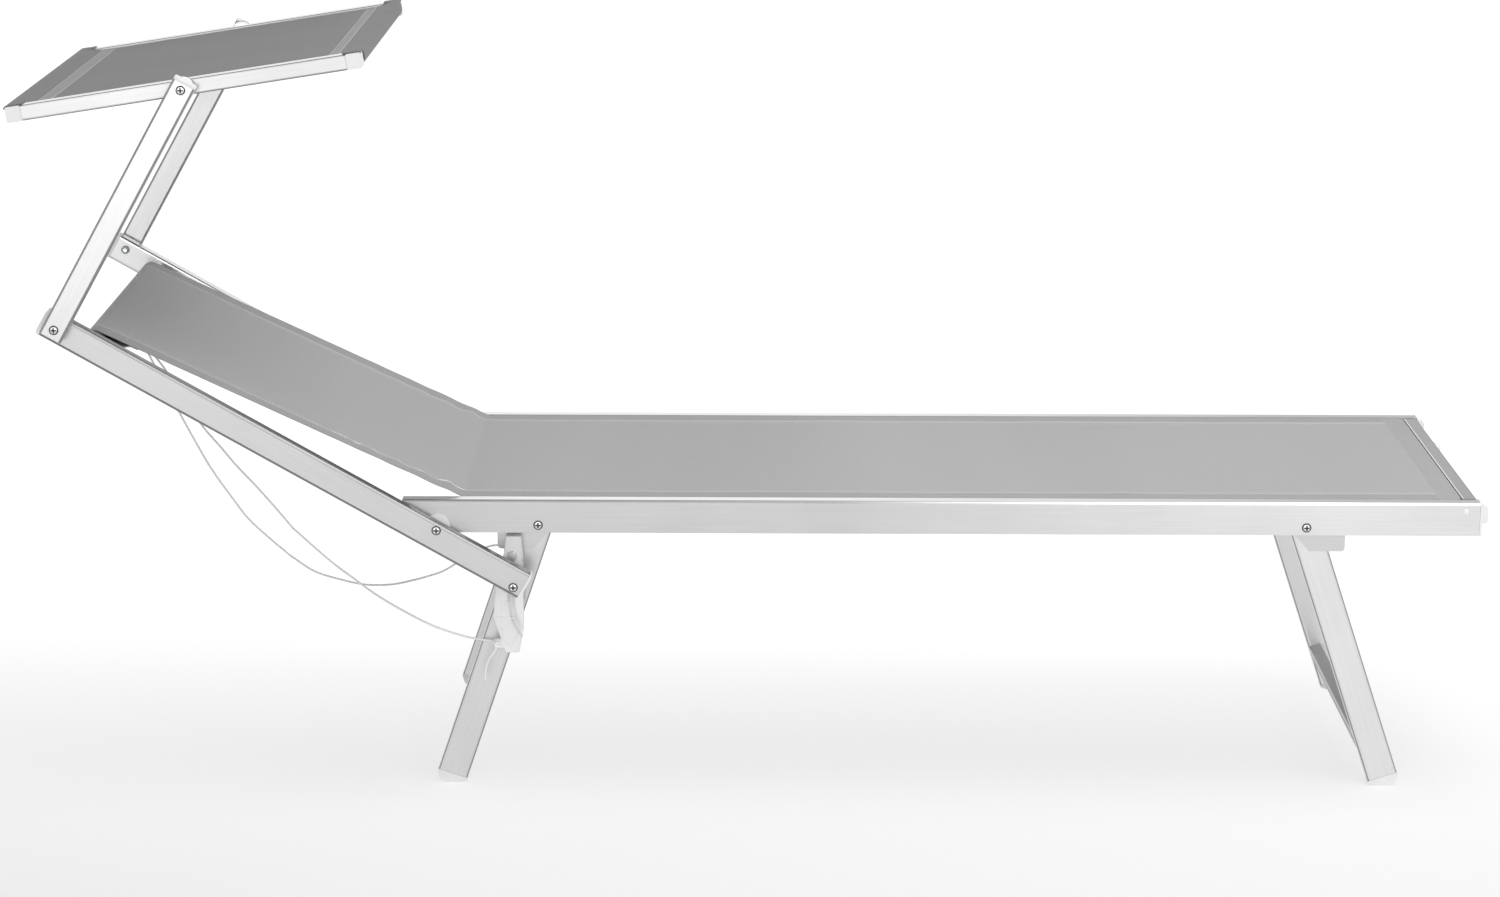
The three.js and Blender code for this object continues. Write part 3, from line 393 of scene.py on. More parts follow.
# The aluminium entries are one anodised metal in lit and shaded copies: each bar's level, top and change
# along X paint the light and shade that fall on it
finishes = {
    # On the rails a painted reflection brightens the faces toward the foot, greys the pale top lip there
    # and turns the dark corners into a highlight
    "rail": aluminium("rail", level=0.56, corners="wide", top=0.85,
                      change=(0.1, 0.75, 0.71, 0.42, 0.95)),
    "foot_cross": aluminium("foot_cross", along="Y", level=0.7, corners="wide", top=0.8,
                            change=(FOOT_LIP - 0.5 * MM, FOOT_LIP + 0.5 * MM, 0.7, 0.29, 0.1)),
    "cross": aluminium("cross", along="Y", corners=None),
    "bracket": aluminium("bracket", corners=None),
    # The near arm's dark top face is painted shade
    "arm": aluminium("arm", RECLINE, pivots["recline"], corners="wide", top=0.2),
    # The far arm is a lit copy, paler than the near arm
    "far_arm": aluminium("far_arm", RECLINE, pivots["recline"], level=0.74, top=0.8),
    "upright": aluminium("upright", UPRIGHT_LEAN, pivots["canopy_arms_swing"], "Z", 0.71, "wide"),
    # The canopy rail's faces are painted darker from its head end toward its foot end, as shade
    "canopy": aluminium("canopy", -CANOPY_PITCH, pivots["canopy_tilt"], level=0.61, top=0.85,
                        change=(-0.80, -0.60, 0.50, 0.85, 0.15)),
    # The head legs are a shaded copy, painted darker than the foot legs
    "head_leg": aluminium("head_leg", LEG_LEAN, pivots["head_legs_fold"], "Z", 0.66),
    "foot_leg": aluminium("foot_leg", -LEG_LEAN, pivots["foot_legs_fold"], "Z", 0.73),
    "leg_bar": aluminium("leg_bar", LEG_LEAN, along="Y"),
    "plastic": moulded_plastic(),
    "steel": screw_steel(),
    # The inside of a screw's recess, painted near-black as its shade
    "recess": new_material("screw_recess_shade", speckled(1500.0, 0.015, 0.06),
                           mottled(900.0, 2.0, 0.2, 0.4)),
    "seat_cloth": sling("cloth", 0.42, hem=0.196),
    # The canopy is the seat's cloth, painted darker as shade
    "canopy_cloth": sling("canopy_cloth", 0.158),
    "hem": sling("hem", 0.30, 2),
    "foot_hem": sling("foot_hem", 0.40, 2),
    "thread": new_material("sewing_thread", speckled(900.0, 0.46, 0.66),
                           mottled(500.0, 2.0, 0.2, 0.6)),
    "cord": braided_cord(),
}

# Which finish a kept solid takes, by the first of these words that its name holds
SOLID_FINISHES = (
    ("screw", "steel"), ("bolt", "steel"), ("tail_pin", "steel"), ("bracket", "bracket"),
    ("leg_bar", "leg_bar"), ("head_leg", "head_leg"), ("foot_leg", "foot_leg"),
    ("side_rail", "rail"), ("foot_cross", "foot_cross"), ("seat_cross", "cross"),
    ("head_tube", "cross"), ("canopy_bar", "cross"), ("back_arm_far", "far_arm"),
    ("back_arm", "arm"), ("canopy_upright", "upright"), ("canopy_rail", "canopy"),
)


def finish_solids():
    """Gives every kept solid its finish; those that no word names are white plastic."""
    for name, node in frame["nodes"].items():
        finish = next((finish for word, finish in SOLID_FINISHES if word in name), "plastic")
        for slot in node.material_slots:
            slot.material = finishes[finish]


finish_solids()


# Making meshes

def make_piece(name, points, faces, finish, smooth=True, uv=None, uv_name="cloth"):
    """An object at the origin from points and faces; uv gives a pair for each point."""
    mesh = bpy.data.meshes.new(name)
    mesh.from_pydata([tuple(point) for point in points], [], faces)
    if uv:
        layer = mesh.uv_layers.new(name=uv_name)
        for loop in mesh.loops:
            layer.data[loop.index].uv = uv[loop.vertex_index]
    mesh.materials.append(finishes[finish])
    mesh.polygons.foreach_set("use_smooth", [smooth] * len(mesh.polygons))
    mesh.update()
    return link(name, mesh)


def baked(piece):
    """Turns a piece's modifiers into plain mesh."""
    graph = bpy.context.evaluated_depsgraph_get()
    mesh = bpy.data.meshes.new_from_object(piece.evaluated_get(graph))
    piece.modifiers.clear()
    piece.data = mesh
    return piece


def merged(name, pieces):
    """Several pieces as one, with their materials and UVs."""
    bpy.ops.object.select_all(action="DESELECT")
    for piece in pieces:
        piece.select_set(True)
    bpy.context.view_layer.objects.active = pieces[0]
    bpy.ops.object.join()
    pieces[0].name = name
    return pieces[0]


def circle(middle, side, other, radius, steps):
    """Places round a circle that two directions span."""
    angles = [math.tau * step / steps for step in range(steps)]
    return [middle + (side * math.cos(angle) + other * math.sin(angle)) * radius for angle in angles]


def skin(rings, joined=False):
    """The points of some rings and the faces between them. A ring of one point is a pole;
    joined also closes the last ring to the first."""
    points, numbers, faces = [], [], []
    for ring in rings:
        numbers.append(range(len(points), len(points) + len(ring)))
        points += ring
    for low, high in zip(numbers, numbers[1:] + numbers[:joined]):
        count = max(len(low), len(high))
        for here in range(count):
            after = (here + 1) % count
            corners = (low[here % len(low)], low[after % len(low)],
                       high[after % len(high)], high[here % len(high)])
            faces.append(tuple(dict.fromkeys(corners)))
    return points, faces


def lathe(profile, origin, direction, finish, name, steps=32):
    """A solid turned about a line: profile is (radius, distance along the line) pairs, from
    one end on the line to the other."""
    direction = Vector(direction).normalized()
    side = direction.orthogonal().normalized()
    rings = []
    for radius, along in profile:
        middle = Vector(origin) + direction * along
        rings.append(circle(middle, side, direction.cross(side), radius, steps) if radius else [middle])
    return make_piece(name, *skin(rings), finish)


# Release cords

# Points of the cords, in millimetres: along X from the recline pivot, out from
# the middle, up. Each rise runs on through the rack's eye and the knot to its tail's end.
CORD_RADIUS = 1.4 * MM
CORD_SIDES = 10
CORD_STEP = 4 * MM
CORD_ROUTES = {
    "near": {
        "fall": [
            (-434, 8, 223.2), (-424, 11, 210.5), (-404, 16, 184.5), (-379, 24, 153.5),
            (-353, 36, 116.5), (-328, 47, 81.5), (-305, 57, 57.5), (-282, 68, 33.5),
            (-259, 79, 12.5), (-232, 90, -14.5), (-205, 103, -42.5),
        ],
        "rise": [
            (-205, 103, -42.5), (-180, 115, -61.5), (-148, 130, -84.5), (-122, 150, -97.3),
            (-88, 175, -114), (-47, 204, -129), (-12, 224, -140.5), (12, 224.5, -149.5),
            (30, 224.5, -155), (44, 225, -158), (58, 226, -159.5), (68, 229, -160),
            (74, 236, -160), (74, 243.5, -160), (73, 245, -162.5), (70, 247, -169.5),
            (63, 247, -179.5), (59, 247, -192.5), (58, 247, -209.5),
        ],
    },
    "far": {
        "fall": [
            (-435, 8, 223.3), (-427, 11, 208.5), (-411, 15, 174.5), (-393, 21, 133.5),
            (-372, 29, 85.5), (-352, 37, 41.5), (-333, 46, 1.5), (-310, 55, -37.5),
            (-287, 66, -74.5), (-262, 77, -103.5), (-233, 91, -134.5),
        ],
        "rise": [
            (-233, 91, -134.5), (-203, 104, -159.5), (-170, 125, -177), (-138, 150, -191.5),
            (-104, 181, -200), (-77, 214, -203), (-60, 224.5, -201), (-36, 225.5, -193),
            (-8, 225, -176), (12, 224.5, -164), (30, 224.5, -156), (44, 225, -154),
            (58, 226, -156.5), (68, 229, -159.5), (74, 236, -160), (74, 243.5, -160),
            (73, 245, -162.5), (70, 247, -170.5), (65, 247, -180.5), (62, 247, -192.5),
            (61, 247, -207.5),
        ],
    },
}


KNOT_PLACE = (74, 243.5, -160)
KNOT_STEPS = 24
KNOT_TURN_RADIUS = 2.5 * MM
KNOT_CORD_RADIUS = 1.05 * CORD_RADIUS
KNOT_TURNS = ((0.9 * MM, -0.6 * MM), (-0.9 * MM, 1.1 * MM))


def from_pivot(place, sign):
    """A place in metres from millimetres along X from the recline pivot, out and up."""
    along, out, up = place
    return Vector((pivots["recline"].x + along * MM, sign * out * MM, pivots["recline"].z + up * MM))


def smooth_line(points, step):
    """Evenly spaced points on a centripetal curve through the points."""
    ends = [2 * points[0] - points[1]] + points + [2 * points[-1] - points[-2]]
    dense = []
    for p0, p1, p2, p3 in zip(ends, ends[1:], ends[2:], ends[3:]):
        t1 = (p1 - p0).length ** 0.5
        t2 = t1 + (p2 - p1).length ** 0.5
        t3 = t2 + (p3 - p2).length ** 0.5
        for part in range(16):
            t = t1 + (t2 - t1) * part / 16
            a1 = p0 * ((t1 - t) / t1) + p1 * (t / t1)
            a2 = p1 * ((t2 - t) / (t2 - t1)) + p2 * ((t - t1) / (t2 - t1))
            a3 = p2 * ((t3 - t) / (t3 - t2)) + p3 * ((t - t2) / (t3 - t2))
            b1 = a1 * ((t2 - t) / t2) + a2 * (t / t2)
            b2 = a2 * ((t3 - t) / (t3 - t1)) + a3 * ((t - t1) / (t3 - t1))
            dense.append(b1 * ((t2 - t) / (t2 - t1)) + b2 * ((t - t1) / (t2 - t1)))
    dense.append(points[-1])
    line = [dense[0]]
    left = step
    for start, end in zip(dense, dense[1:]):
        span = (end - start).length
        place = left
        while place <= span:
            line.append(start.lerp(end, place / span))
            place += step
        left = place - span
    if (line[-1] - dense[-1]).length < step / 2:
        line.pop()
    return line + [dense[-1]]


def tube_along(name, line, radius, finish, sides=CORD_SIDES):
    """A closed round tube that follows a line, with UVs round and along it."""
    rings, uv = [], []
    side = (line[1] - line[0]).orthogonal()
    run = 0.0
    for index, middle in enumerate(line):
        before, after = line[max(index - 1, 0)], line[min(index + 1, len(line) - 1)]
        tangent = (after - before).normalized()
        side = (side - tangent * side.dot(tangent)).normalized()
        rings.append(circle(middle, side, tangent.cross(side), radius, sides))
        run += (middle - before).length
        uv += [(step / sides, run) for step in range(sides)]
    points, faces = skin(rings)
    faces += [tuple(reversed(range(sides))), tuple(range(len(points) - sides, len(points)))]
    return make_piece(name, points, faces, finish, uv=uv, uv_name="cord")


def line_length(line):
    return sum((b - a).length for a, b in zip(line, line[1:]))


def stopper_knot(side, sign, eye):
    """Two crossed turns of the cord on the outer side of the rack's eye."""
    wraps = []
    for lean, out in KNOT_TURNS:
        ring = []
        for step in range(KNOT_STEPS + 1):
            angle = math.tau * step / KNOT_STEPS
            turn = Vector((math.cos(angle), 0, math.sin(angle))) * KNOT_TURN_RADIUS
            away = sign * (out + lean * math.cos(angle))
            ring.append(eye + turn + Vector((0, away, 0)))
        wraps.append(tube_along(f"cord_turn_{side}", ring, KNOT_CORD_RADIUS, "cord"))
    return merged(f"cord_knot_{side}", wraps)


def add_cord(side, sign):
    """One release cord in two stretches that meet at its lowest bend: the fall runs down from the
    back, and the rise runs to the rack that it works, with the stopper knot and the tail."""
    fall, rise = (smooth_line([from_pivot(place, sign) for place in route], CORD_STEP)
                  for route in CORD_ROUTES[side].values())
    eye = from_pivot(KNOT_PLACE, sign)
    knot = stopper_knot(side, sign, eye)
    fall_piece = tube_along(f"cord_fall_{side}", fall, CORD_RADIUS, "cord")
    rise_piece = tube_along(f"cord_rise_{side}", rise, CORD_RADIUS, "cord")
    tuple(fall[0])
    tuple(fall[-1])
    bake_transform(fall_piece)
    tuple(rise[0])
    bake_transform(rise_piece)
    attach(knot, f"rack_{side}")
    for piece in (fall_piece, rise_piece, knot):
        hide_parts(f"release_cord_{side}")
    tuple(fall[0])
    line_length(fall)
    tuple(rise[0])
    line_length(rise)


for side, sign in SIDES:
    add_cord(side, sign)


# Sling cloth

CLOTH = 1.1 * MM
SLOT_INSET = 20 * MM
SLOT_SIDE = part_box("side_rail_far")[1][1] - SLOT_INSET
BETWEEN_RAILS = 222 * MM
SEAT_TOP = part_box("seat_cloth")[1][2]
FOOT_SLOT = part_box("foot_cross")[1][0] - SLOT_INSET
BEAD_DROP = 8 * MM
BEAD_WRAP = 1.8 * MM
ROW_STEP = 9 * MM
FINE_STEP = 4.5 * MM
PUCKER_RUN = 120 * MM
CREASE_RADIUS = 20 * MM
TUBE_RADIUS = 11 * MM
SLEEVE_RADIUS = TUBE_RADIUS + 2.3 * MM
HEAD_TUBE = BACK @ Vector((-495 * MM, 0, -9 * MM))
BACK_END_REACH = math.hypot(28 * MM, 34.5 * MM)
POCKET_RUN = 45 * MM
HEM_RUN = 10 * MM
SEAMS_SIDE = (188 * MM, 196 * MM)
SEAM_DEPTH = 0.4 * MM
SEAM_WIDTH = 1.3 * MM
SEAM_REACH = 214 * MM
SEAM_POINTS = 30
OPEN_HALF = 178 * MM
OPEN_COLUMNS = 12
HEM_MIDDLE = 198 * MM
HEM_HALF = 17 * MM
SEAT_SAG = 2.2 * MM
BACK_SAG = 5.5 * MM
FOOT_HEM = 29 * MM
# How deep the sling's edge lies in a rail's slot, and how far a pocket's lower layer lies
# below the upper one where they are sewn together
LAYER_GAP = 2.1 * CLOTH
POCKET_STEPS = 22
CREASE_STEPS = 6


def flat(vector):
    """A vector's X and Z as a pair of its own."""
    return Vector((vector.x, vector.z))


def slot_wrap():
    """The cloth's edge from the top into a slot and round its bead: (out, up) offsets."""
    edge = [(-0.9 * MM, 0), (-0.25 * MM, -0.35 * MM), (0, -1.2 * MM), (0, -4 * MM)]
    for step in range(8):
        angle = math.radians(90 - 40 * step)
        edge.append((BEAD_WRAP * math.cos(angle), BEAD_WRAP * math.sin(angle) - BEAD_DROP))
    return edge


def arc_rows(middle, radius, first, last, steps):
    """Places and outward normals along an arc, without its first place."""
    rows = []
    for step in range(1, steps + 1):
        angle = first + (last - first) * step / steps
        normal = Vector((math.cos(angle), math.sin(angle)))
        rows.append((middle + normal * radius, normal))
    return rows


def line_rows(start, end, normal, step):
    """Places along a straight stretch, without its first place."""
    count = max(1, round((end - start).length / step))
    return [(start.lerp(end, index / count), normal) for index in range(1, count + 1)]


def pocket_rows(middle, radius, first, join, normal, turn):
    """A pocket round a tube: from a first angle round the tube by the side that turn gives,
    straight back along the tube's other side to the join, and on along it as a hem."""
    to_join = join - middle
    lean = math.acos(radius / to_join.length)
    last = math.atan2(to_join.y, to_join.x) - turn * lean
    while (last - first) * turn < 0:
        last += turn * math.tau
    rows = arc_rows(middle, radius, first, last, POCKET_STEPS)
    outward = Vector((math.cos(last), math.sin(last)))
    rows += line_rows(rows[-1][0], join, outward, FINE_STEP)
    along = Vector((normal.y, -normal.x)) * turn
    return rows + line_rows(join, join + along * HEM_RUN, -normal, FINE_STEP)


def sling_rows():
    """The sling seen from the side, from the foot slot to the hem of the head pocket: a place,
    a normal and the part that each row is of. Also the back's lower end."""
    up = Vector((0, 1))
    start = Vector((FOOT_SLOT - 2 * MM, SEAT_TOP))
    pivot, tube = flat(pivots["recline"]), flat(HEAD_TUBE)
    to_tube = tube - pivot
    climb = math.asin((BACK_END_REACH - SLEEVE_RADIUS) / to_tube.length)
    slope = math.atan2(to_tube.y, -to_tube.x) - climb
    normal = Vector((math.sin(slope), math.cos(slope)))
    along = Vector((-math.cos(slope), math.sin(slope)))
    back_end = pivot + normal * BACK_END_REACH
    corner = back_end - along * ((back_end.y - SEAT_TOP) / along.y)
    fold = Vector((corner.x + CREASE_RADIUS * math.tan(slope / 2), SEAT_TOP))
    down = -math.pi / 2
    crease = arc_rows(fold + up * CREASE_RADIUS, CREASE_RADIUS, down, down - slope, CREASE_STEPS)
    low = crease[-1][0]
    high = low + along * PUCKER_RUN
    join = tube - along * POCKET_RUN + normal * (SLEEVE_RADIUS - LAYER_GAP)
    parts = (
        ("hem", [(Vector((FOOT_SLOT + out, SEAT_TOP + rise)), up) for out, rise in slot_wrap()[::-1]]),
        ("seat", [(start, up)] + line_rows(start, fold, up, ROW_STEP)),
        ("crease", [(place, -out) for place, out in crease]),
        ("back", line_rows(low, high, normal, FINE_STEP)),
        ("back", line_rows(high, tube + normal * SLEEVE_RADIUS, normal, ROW_STEP)),
        ("pocket", pocket_rows(tube, SLEEVE_RADIUS, math.atan2(normal.y, normal.x), join, normal, 1)),
    )
    return [(place, out, kind) for kind, part in parts for place, out in part], back_end


# Where faint pressed folds run across the seat: along X, how far the fold slants, its depth
SEAT_FOLDS = ((-0.146, 0.0, 0.0007), (0.362, 0.01, -0.0006), (0.431, 0.045, 0.0008))


def eased(share):
    """0 up to 0 and 1 from 1 on, with a soft start and end."""
    share = min(1.0, max(0.0, share))
    return share * share * (3 - 2 * share)


def seat_slack(run, y, side, length):
    """The seat's small sag, soft waves, pressed folds, and gathers along the foot slot."""
    middle = max(0.0, 1 - side * side)
    ends = eased(run / 0.12) * eased((length - run) / 0.05)
    waves = 0.00045 * math.sin(run * 17 + 2.2 * y) + 0.0003 * math.sin(run * 41 - 5 * y + 1.3)
    lift = -SEAT_SAG * middle * ends + waves * ends * (0.3 + 0.7 * middle)
    lift += 0.0006 * math.exp(-run / 0.05) * math.sin(y * 95) * min(1.0, run / 0.01) * middle
    for across, slant, depth in SEAT_FOLDS:
        away = (FOOT_SLOT - run - across + slant * y / SLOT_SIDE) / (10 * MM)
        lift += depth * math.exp(-away * away) * min(1.0, 2 * middle)
    return lift


def back_slack(run, y, side, length):
    """The back's sag and waves, and the puckers of its side hems next to the crease."""
    middle = max(0.0, 1 - side * side)
    ends = eased(run / 0.09) * eased((length - run - POCKET_RUN - HEM_RUN) / 0.14)
    waves = 0.0005 * math.sin(run * 23 + 7 * y) + 0.0004 * math.sin(y * 38 + run * 6)
    lift = -BACK_SAG * middle * ends + waves * ends * middle
    fade = math.exp(-run / 0.08) * eased(run / 0.012)
    hem = (abs(y) - HEM_MIDDLE) / HEM_HALF
    lift += 0.0020 * fade * math.exp(-hem * hem) * math.sin(run * 165 + 60 * abs(y))
    return lift + 0.0008 * fade * side ** 3 * math.sin(run * 120 + 30 * abs(y))


def across(half, count):
    """Even places across a cloth, with count of them on each side of the middle."""
    return [half * index / count for index in range(-count, count + 1)]


def sling_columns():
    """Places across the sling, close together at the seams and edges."""
    half = [OPEN_HALF * index / OPEN_COLUMNS for index in range(1, OPEN_COLUMNS + 1)]
    for seam in SEAMS_SIDE:
        half += [seam - 2 * MM, seam, seam + 2 * MM]
    half += [204 * MM, 213 * MM, BETWEEN_RAILS, SLOT_SIDE]
    return [-y for y in reversed(half)] + [0.0] + half


class Sling:
    """The sling as a surface: rows along it, columns across it."""

    def __init__(self):
        self.rows, self.back_end = sling_rows()
        self.runs = [0.0]
        for before, after in zip(self.rows, self.rows[1:]):
            self.runs.append(self.runs[-1] + (after[0] - before[0]).length)
        starts = {}
        for run, row in zip(self.runs, self.rows):
            starts.setdefault(row[2], run)
        self.foot, self.crease, self.back = starts["seat"], starts["crease"], starts["back"]
        self.top = max(run for run, row in zip(self.runs, self.rows) if row[2] == "back")

    def lift(self, kind, run, y):
        """How far the cloth lies off its taut plane."""
        side = abs(y) / SLOT_SIDE
        if kind == "seat":
            lift = seat_slack(run - self.foot, y, side, self.crease - self.foot)
        elif kind == "back":
            lift = back_slack(run - self.back, y, side, self.top - self.back)
        else:
            return 0.0
        for seam in SEAMS_SIDE:
            lift -= SEAM_DEPTH * math.exp(-(((abs(y) - seam) / SEAM_WIDTH) ** 2))
        return lift

    def point(self, index, y):
        """The cloth's upper face at a row, at a place across it."""
        place, normal, kind = self.rows[index]
        spot = place + normal * self.lift(kind, self.runs[index], y)
        return Vector((spot.x, y, spot.y))

    def normal(self, index):
        _, normal, _ = self.rows[index]
        return Vector((normal.x, 0, normal.y))


class Shell:
    """A surface under construction, whose points have keys such as (row, column)."""

    def __init__(self):
        self.points, self.uv, self.faces, self.index_of = [], [], [], {}

    def put(self, key, point, uv):
        self.index_of[key] = len(self.points)
        self.points.append(point)
        self.uv.append(uv)

    def face(self, *keys):
        """A face, which is left out where one of its corners has no point."""
        if all(key in self.index_of for key in keys):
            self.faces.append([self.index_of[key] for key in keys])

    def cell(self, row, column, flip=False):
        """The face between a row and a column and the next ones."""
        start, *rest = (row, column), (row, column + 1), (row + 1, column + 1), (row + 1, column)
        self.face(start, *(rest[::-1] if flip else rest))

    def piece(self, name, finish):
        return make_piece(name, self.points, self.faces, finish, uv=self.uv)


def sling_shell(sling):
    """The sling's upper face, with its edges down in the slots."""
    shell = Shell()
    columns = sling_columns()
    wrap = slot_wrap()
    for row, (place, _, kind) in enumerate(sling.rows):
        run = sling.runs[row]
        half = BETWEEN_RAILS if kind == "hem" else SLOT_SIDE
        for column, y in enumerate(columns):
            inside = max(-half, min(half, y))
            shell.put((row, column), sling.point(row, inside), (inside, run))
        if kind == "seat":
            for sign in (-1, 1):
                for step, (out, rise) in enumerate(wrap):
                    edge = Vector((place.x, sign * (SLOT_SIDE + out), place.y + rise))
                    shell.put((row, sign, step), edge, (sign * (SLOT_SIDE + step * MM), run))
    last = len(columns) - 1
    for row in range(len(sling.rows) - 1):
        kinds = sling.rows[row][2], sling.rows[row + 1][2]
        in_slots = kinds == ("seat", "seat")
        narrow = in_slots or kinds[0] == "hem"
        for column in range(1, last - 1) if narrow else range(last):
            shell.cell(row, column)
        for sign, column in ((-1, 1), (1, last - 1)) if in_slots else ():
            chain = [(row, column)] + [(row, sign, step) for step in range(len(wrap))]
            for first, second in zip(chain, chain[1:]):
                keys = (first, second, (row + 1,) + second[1:], (row + 1,) + first[1:])
                shell.face(*keys[::sign])
    return shell


def thicken(piece, thickness):
    """Gives a one-sided surface its thickness, below the side that its normals face."""
    wall = piece.modifiers.new("wall", "SOLIDIFY")
    wall.thickness = thickness
    wall.offset = -1
    return baked(piece)


def clean(piece):
    """Drops points that no face uses and closes doubled ones."""
    mesh = bmesh.new()
    mesh.from_mesh(piece.data)
    bmesh.ops.remove_doubles(mesh, verts=mesh.verts, dist=0.00002)
    loose = [vertex for vertex in mesh.verts if not vertex.link_faces]
    bmesh.ops.delete(mesh, geom=loose, context="VERTS")
    mesh.to_mesh(piece.data)
    mesh.free()


def follow_sling(piece):
    """Bakes a piece's transform into its mesh."""
    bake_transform(piece)


def sling_seams(sling):
    """The lines that the sling's stitches follow: two along each side hem of the seat and of
    the back, one along the foot hem and one along the head pocket."""
    seams = []
    for y in (sign * seam for sign in (-1, 1) for seam in SEAMS_SIDE):
        for part in ("seat", "back"):
            rows = [row for row, (_, _, kind) in enumerate(sling.rows) if kind == part]
            seams.append([(sling.point(row, y), sling.normal(row)) for row in rows[2:-1]])
    for run in (sling.foot + FOOT_HEM, sling.top - POCKET_RUN + HEM_RUN / 2):
        row = min(range(len(sling.rows)), key=lambda index: abs(sling.runs[index] - run))
        seams.append([(sling.point(row, y), sling.normal(row)) for y in across(SEAM_REACH, SEAM_POINTS)])
    return seams


def add_sling():
    """The seat and back as one sheet: its sides and foot end go down into the rails' slots
    round beads, and its head end is sewn into a pocket round the head tube."""
    sling = Sling()
    piece = sling_shell(sling).piece("sling_cloth", "seat_cloth")
    piece.data.materials.append(finishes["foot_hem"])
    for polygon in piece.data.polygons:
        if polygon.center.x > FOOT_SLOT - FOOT_HEM:
            polygon.material_index = 1
    clean(piece)
    thicken(piece, CLOTH)
    stitches = stitch("sling_stitches", sling_seams(sling))
    for part in (piece, stitches):
        follow_sling(part)
    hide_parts("seat_cloth", "back_cloth")


# Canopy cloth

CANOPY_BAR = 216.7 * MM
CANOPY_SLEEVE = 8.3 * MM
CANOPY_RISE = 6.5 * MM
CANOPY_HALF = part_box("canopy_cloth")[1][1]
# How far in from the bar each pocket is sewn down, and the two edges of its paler tape
CANOPY_JOIN = {-1: 33 * MM, 1: 28 * MM}
CANOPY_TAPE = {-1: (26 * MM, 45 * MM), 1: (22 * MM, 38 * MM)}
TAPE_RISE = 0.5 * MM
TAPE_STEPS = 8
CANOPY_COLUMNS = 24
CANOPY_SAG = 3 * MM
# The rounded outline of each pocket, stretched between the frame's corner blocks, and how
# far its upper side lies on them: along the rails and across them
POCKET_REACH = 9.8 * MM
POCKET_TOP = 11.5 * MM
ON_BLOCKS = 15 * MM
ACROSS_BLOCKS = (253.2 * MM, 260 * MM, 267 * MM, 273.2 * MM)


def canopy_rows():
    """The canopy sheet seen from the side in the canopy's own axes, from the hem of the head
    pocket to that of the foot pocket: places and normals. Also where the open sheet lies."""
    up = Vector((0, 1))
    ends = {}
    for sign in (-1, 1):
        turn = -sign
        bar = Vector((sign * CANOPY_BAR, 0))
        join = Vector((bar.x + turn * CANOPY_JOIN[sign], CANOPY_RISE))
        to_join = join - bar
        first = math.atan2(to_join.y, to_join.x) + turn * math.acos(CANOPY_SLEEVE / to_join.length)
        out = Vector((math.cos(first), math.sin(first)))
        rows = [(join, up)] + line_rows(join, bar + out * CANOPY_SLEEVE, out, FINE_STEP)
        below = join - up * LAYER_GAP
        ends[sign] = rows + pocket_rows(bar, CANOPY_SLEEVE, first, below, up, turn)
    middle = line_rows(ends[-1][0][0], ends[1][0][0], up, ROW_STEP)[:-1]
    rows = list(reversed(ends[-1])) + middle + ends[1]
    return rows, len(ends[-1]), len(ends[-1]) + len(middle)


def canopy_lift(x, y):
    """The open sheet's small sag and waves, square to its plane."""
    end = min(1.0, abs(x) / (CANOPY_BAR - CANOPY_JOIN[-1]))
    side = abs(y) / CANOPY_HALF
    sag = -CANOPY_SAG * (1 - end ** 4) * (1 - side ** 2)
    return sag + 0.0005 * math.sin(y * 31 + x * 9) * (1 - end ** 6)


def canopy_top(x, y):
    """The height of the canopy's upper face between the bars."""
    sign = 1 if x > 0 else -1
    past = abs(x) - (CANOPY_BAR - CANOPY_JOIN[sign])
    if past <= 0:
        return CANOPY_RISE + canopy_lift(x, y)
    return CANOPY_RISE + past * (POCKET_TOP - CANOPY_RISE) / CANOPY_JOIN[sign]


def pocket_place(place, over_block):
    """Where a row of a pocket lies: its upper side rises from the seam to the height of the
    corner blocks, or lies flat on them, and its outer side drops round the bar."""
    sign = 1 if place.x > 0 else -1
    out = sign * place.x - CANOPY_BAR
    if out < 0:
        climb = (POCKET_TOP - CANOPY_RISE) / (CANOPY_SLEEVE - CANOPY_RISE)
        rise = POCKET_TOP if over_block else CANOPY_RISE + (place.y - CANOPY_RISE) * climb
        return Vector((place.x, rise))
    angle = math.atan2(place.y, out)
    spread = abs(math.cos(angle) / POCKET_REACH) ** 6 + abs(math.sin(angle) / POCKET_TOP) ** 6
    reach = spread ** (-1 / 6)
    return Vector((sign * (CANOPY_BAR + math.cos(angle) * reach), math.sin(angle) * reach))


def canopy_point(place, normal, y, open_sheet):
    """A row's place on the cloth at a place across it, in the canopy's own axes, or None
    where the cloth doesn't reach."""
    over_block = abs(y) > CANOPY_HALF + 1e-6
    sign = 1 if place.x > 0 else -1
    out = sign * place.x - CANOPY_BAR
    if over_block and (open_sheet or place.y < 0.6 * CANOPY_SLEEVE and out > 0
                       or out < -ON_BLOCKS or normal.y < 0):
        return None
    if open_sheet:
        return place + normal * canopy_lift(place.x, y)
    if out > 0 or normal.y > 0.5:
        drop = min(1.0, max(0.0, -place.y / CANOPY_SLEEVE))
        return pocket_place(place, over_block).lerp(place, drop)
    return place


